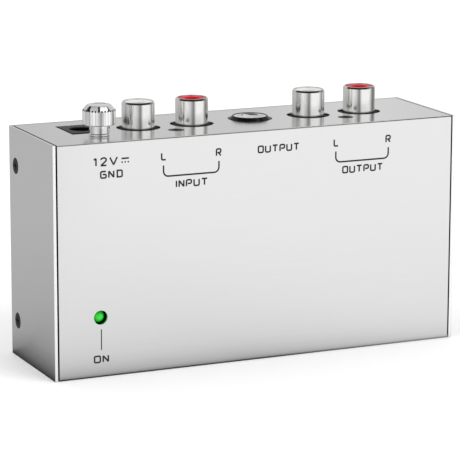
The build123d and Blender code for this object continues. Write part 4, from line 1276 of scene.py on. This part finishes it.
# ---- finishes of the pieces that stay as they are
dress(["output_jack_body"], jack_plastic)
dress(["dc_socket_body"], socket_plastic)
dress(["dc_socket_pin"], bright_nickel)
dress(["output_jack_tip_spring", "output_jack_ring_spring", "dc_socket_spring"], spring_brass)
dress([f"{module}_{side}_contact" for module in phono_modules for side in phono_sides], spring_brass)
dress(["input_socket_block", "output_socket_block"], block_plastic)
dress(["board_standoffs", "board_screws", "ground_lock_washer", "ground_hex_nut"], zinc_steel)
dress(["output_jack_terminals", "ground_solder_tag", "led_leads", "op_amp_pins", "component_leads"], tinned_copper)
dress(["circuit_board"], board_mask)
dress(["led_spacer"], nylon)
dress(["op_amp", "voltage_regulator", "protection_diode"], chip_epoxy)
dress(["signal_capacitors", "supply_capacitors"], can_sleeve)
dress(["film_capacitors"], dipped_film)
dress(["ceramic_capacitors"], dipped_disc)
dress(["resistors"], resistor_lacquer)
dress(["ground_wire"], wire_plastic)


# ---- floor, light and camera
def background_rays(tree):
    """1 for a ray that looks at the background: from the camera, or off metal and through plastic."""
    path = add(tree, "LightPath").outputs
    through = number(tree, "MAXIMUM", path["Is Camera Ray"], path["Is Glossy Ray"])
    return number(tree, "MAXIMUM", through, path["Is Transmission Ray"])


def white_floor():
    """Pale matt table top that runs out to the horizon."""
    bpy.ops.mesh.primitive_plane_add(size=floor_size, location=(0, 0, -0.02 * mm))
    floor = settle(bpy.context.object)
    floor.name = "floor"
    material, tree, shader, place = new_finish("floor_white", (0.93, 0.93, 0.93), 0.3, Specular_IOR_Level=0.02)
    vary_colour(tree, shader, use(tree, handling_mottle, place, Scale=3.0), (0.92, 0.92, 0.92), (0.94, 0.94, 0.94))
    shader.inputs["Emission Color"].default_value = (1, 1, 1, 1)
    tree.links.new(number(tree, "MULTIPLY", background_rays(tree), floor_lift), shader.inputs["Emission Strength"])
    floor.data.materials.append(material)


def tones(tree, value, stops, low, high):
    """A grey value that follows (position, tone) stops between two ends."""
    share = mapped(tree, value, low, high)
    return colour_ramp(tree, share, [((position - low) / (high - low), (tone,) * 3) for position, tone in stops])


def beyond(tree, value, edge):
    """How far a coordinate lies outside plus or minus an edge."""
    past = number(tree, "SUBTRACT", number(tree, "ABSOLUTE", value), edge)
    return number(tree, "MAXIMUM", past, 0.0)


def ground_with_painted_shadow(tree, x, y):
    """Ground part of the tent with a painted shadow: darker towards the object, less so at the right, and grey except
    in front.
    """
    half_length, half_depth = case_high.x, -case_low.y
    # Painted shadow of the object on the tent's ground, deepest next to the ends and faces
    past_ends = tones(tree, beyond(tree, x, half_length), end_shadow_tones, 0.0, 0.1)
    past_faces = tones(tree, beyond(tree, y, half_depth), front_shadow_tones, 0.0, 0.25)
    share = mapped(tree, x, 0.0, half_length, 1.0, right_shadow_share)
    shadow_depth = number(tree, "MULTIPLY", number(tree, "SUBTRACT", 1.0, past_faces), share)
    fall = number(tree, "MAXIMUM", past_ends, number(tree, "SUBTRACT", 1.0, shadow_depth))
    front = mapped(tree, y, -half_depth, -half_depth - 3 * mm, side_tone, 1.0, interpolation_type="SMOOTHSTEP")
    return number(tree, "MULTIPLY", fall, front)


def crown_mirror(tree, place):
    """Slope, upwards and across, of the mirror on the thumb nut that would show a place to the viewer."""
    nut_place = middle("ground_thumb_nut")
    sight = (nut_place - camera_place).normalized()
    right_hand = sight.cross(Vector((0, 0, 1))).normalized()
    from_nut = arrow(tree, "NORMALIZE", arrow(tree, "SUBTRACT", place, tuple(nut_place)))
    halfway = arrow(tree, "NORMALIZE", arrow(tree, "SUBTRACT", from_nut, tuple(sight)))
    return axes(tree, halfway)["Z"], arrow(tree, "DOT_PRODUCT", halfway, tuple(right_hand))


def crown_windows(tree, tilt, across):
    """Two bright windows that the thumb nut's crown reflects: where they are, and their tone."""
    crown_share = cos(radians(window_tilt))
    on_crown = number(tree, "COMPARE", tilt, sin(radians(window_tilt)), crown_share * radians(window_spread))
    inner, outer = (crown_share * sin(radians(angle)) for angle in (window_inner, window_outer))
    apart = number(tree, "ABSOLUTE", across)
    in_window = number(tree, "COMPARE", apart, (inner + outer) / 2, (outer - inner) / 2)
    on_right = number(tree, "GREATER_THAN", across, 0.0)
    return number(tree, "MULTIPLY", in_window, on_crown), mapped(tree, on_right, 0.0, 1.0, left_window, right_window)


def upper_cloth(tree, degrees_round, z, tilt):
    """Upper part of the tent: black over the viewer's side, pale behind and past the crown's slope."""
    towards_camera = degrees(atan2(camera_place.x, -camera_place.y))
    facing = number(tree, "ABSOLUTE", number(tree, "SUBTRACT", degrees_round, towards_camera))
    behind = mapped(tree, facing, black_reach, black_reach + 5.0)
    behind = number(tree, "MULTIPLY", behind, number(tree, "LESS_THAN", z, tent_height - 0.001))
    past_top = mapped(tree, tilt, sin(radians(black_top)), sin(radians(black_top + black_top_fade)))
    return mapped(tree, number(tree, "MAXIMUM", behind, past_top), 0.0, 1.0, black_tone, behind_tone)


def reflector_tent():
    """Round cloth tent of grey and white stretches over the object, which only reflections see; its ground carries a
    painted shadow of the object.
    """
    centre = (0, 0, tent_height / 2 - 0.01 * mm)
    bpy.ops.mesh.primitive_cylinder_add(vertices=128, radius=tent_radius, depth=tent_height, location=centre)
    tent = settle(bpy.context.object)
    tent.name = "reflector_tent"
    material = bpy.data.materials.new("reflector_cloth")
    material.use_nodes = True
    tree = material.node_tree
    tree.nodes.clear()
    place = add(tree, "TexCoord").outputs["Object"]
    x, y, z = axes(tree, place)
    degrees_round = number(tree, "DEGREES", number(tree, "ARCTAN2", x, number(tree, "MULTIPLY", y, -1.0)))
    tilt, across = crown_mirror(tree, place)
    in_window, window = crown_windows(tree, tilt, across)
    on_ground = number(tree, "LESS_THAN", z, 0.0001)
    is_upper = mapped(tree, z, black_low, black_low + 0.006)
    tone = tones(tree, degrees_round, wall_tones, -180.0, 180.0)
    shadowed_ground, upper = ground_with_painted_shadow(tree, x, y), upper_cloth(tree, degrees_round, z, tilt)
    for mask, other in ((on_ground, shadowed_ground), (is_upper, upper), (in_window, window)):
        tone = add(tree, "Mix", {"Factor": mask, 2: tone, 3: other}).outputs[0]
    glow = add(tree, "Emission", {"Color": (1, 1, 1, 1), "Strength": tone})
    tree.links.new(glow.outputs[0], add(tree, "OutputMaterial").inputs["Surface"])
    tent.data.materials.append(material)
    for rays in ("visible_camera", "visible_diffuse", "visible_shadow", "visible_transmission"):
        setattr(tent, rays, False)


def soft_box(name, place, aim, size, power):
    """Square area lamp that points at a place."""
    data = bpy.data.lights.new(name, "AREA")
    data.shape = "SQUARE"
    data.size = size
    data.energy = power
    lamp = bpy.data.objects.new(name, data)
    bpy.context.collection.objects.link(lamp)
    lamp.visible_glossy = False
    lamp.location = place
    lamp.rotation_euler = (Vector(aim) - Vector(place)).to_track_quat("-Z", "Y").to_euler()


def studio_world():
    """Even pale surround, seen as pure white."""
    world = bpy.data.worlds.new("studio")
    bpy.context.scene.world = world
    world.use_nodes = True
    tree = world.node_tree
    tree.nodes.clear()
    strength = mapped(tree, background_rays(tree), 0.0, 1.0, surround, 1.0)
    background = add(tree, "Background", {"Color": (1, 1, 1, 1), "Strength": strength})
    tree.links.new(background.outputs[0], add(tree, "OutputWorld").inputs["Surface"])


def camera():
    """Long lens from the front left, a little above the object."""
    aim = Vector((-0.922, 0.493, 30.361)) * mm
    roll = radians(0.115)
    data = bpy.data.cameras.new("camera")
    data.sensor_width = 36.0
    data.lens = 206.3
    data.clip_start = 0.05
    view = bpy.data.objects.new("camera", data)
    bpy.context.collection.objects.link(view)
    view.location = camera_place
    turn = (aim - camera_place).to_track_quat("-Z", "Y") @ Quaternion((0, 0, 1), roll)
    view.rotation_euler = turn.to_euler()
    bpy.context.scene.camera = view


white_floor()
reflector_tent()
object_centre = (0, 0, 0.03)
soft_box("key_light", (0.45, -0.75, 0.85), object_centre, 0.7, 5.5)
soft_box("fill_light", (-0.8, -0.35, 0.6), object_centre, 0.6, 2.0)
soft_box("back_light", (0.1, 0.8, 0.7), object_centre, 0.6, 2.0)
studio_world()
camera()
bpy.context.scene.view_settings.view_transform = "Standard"
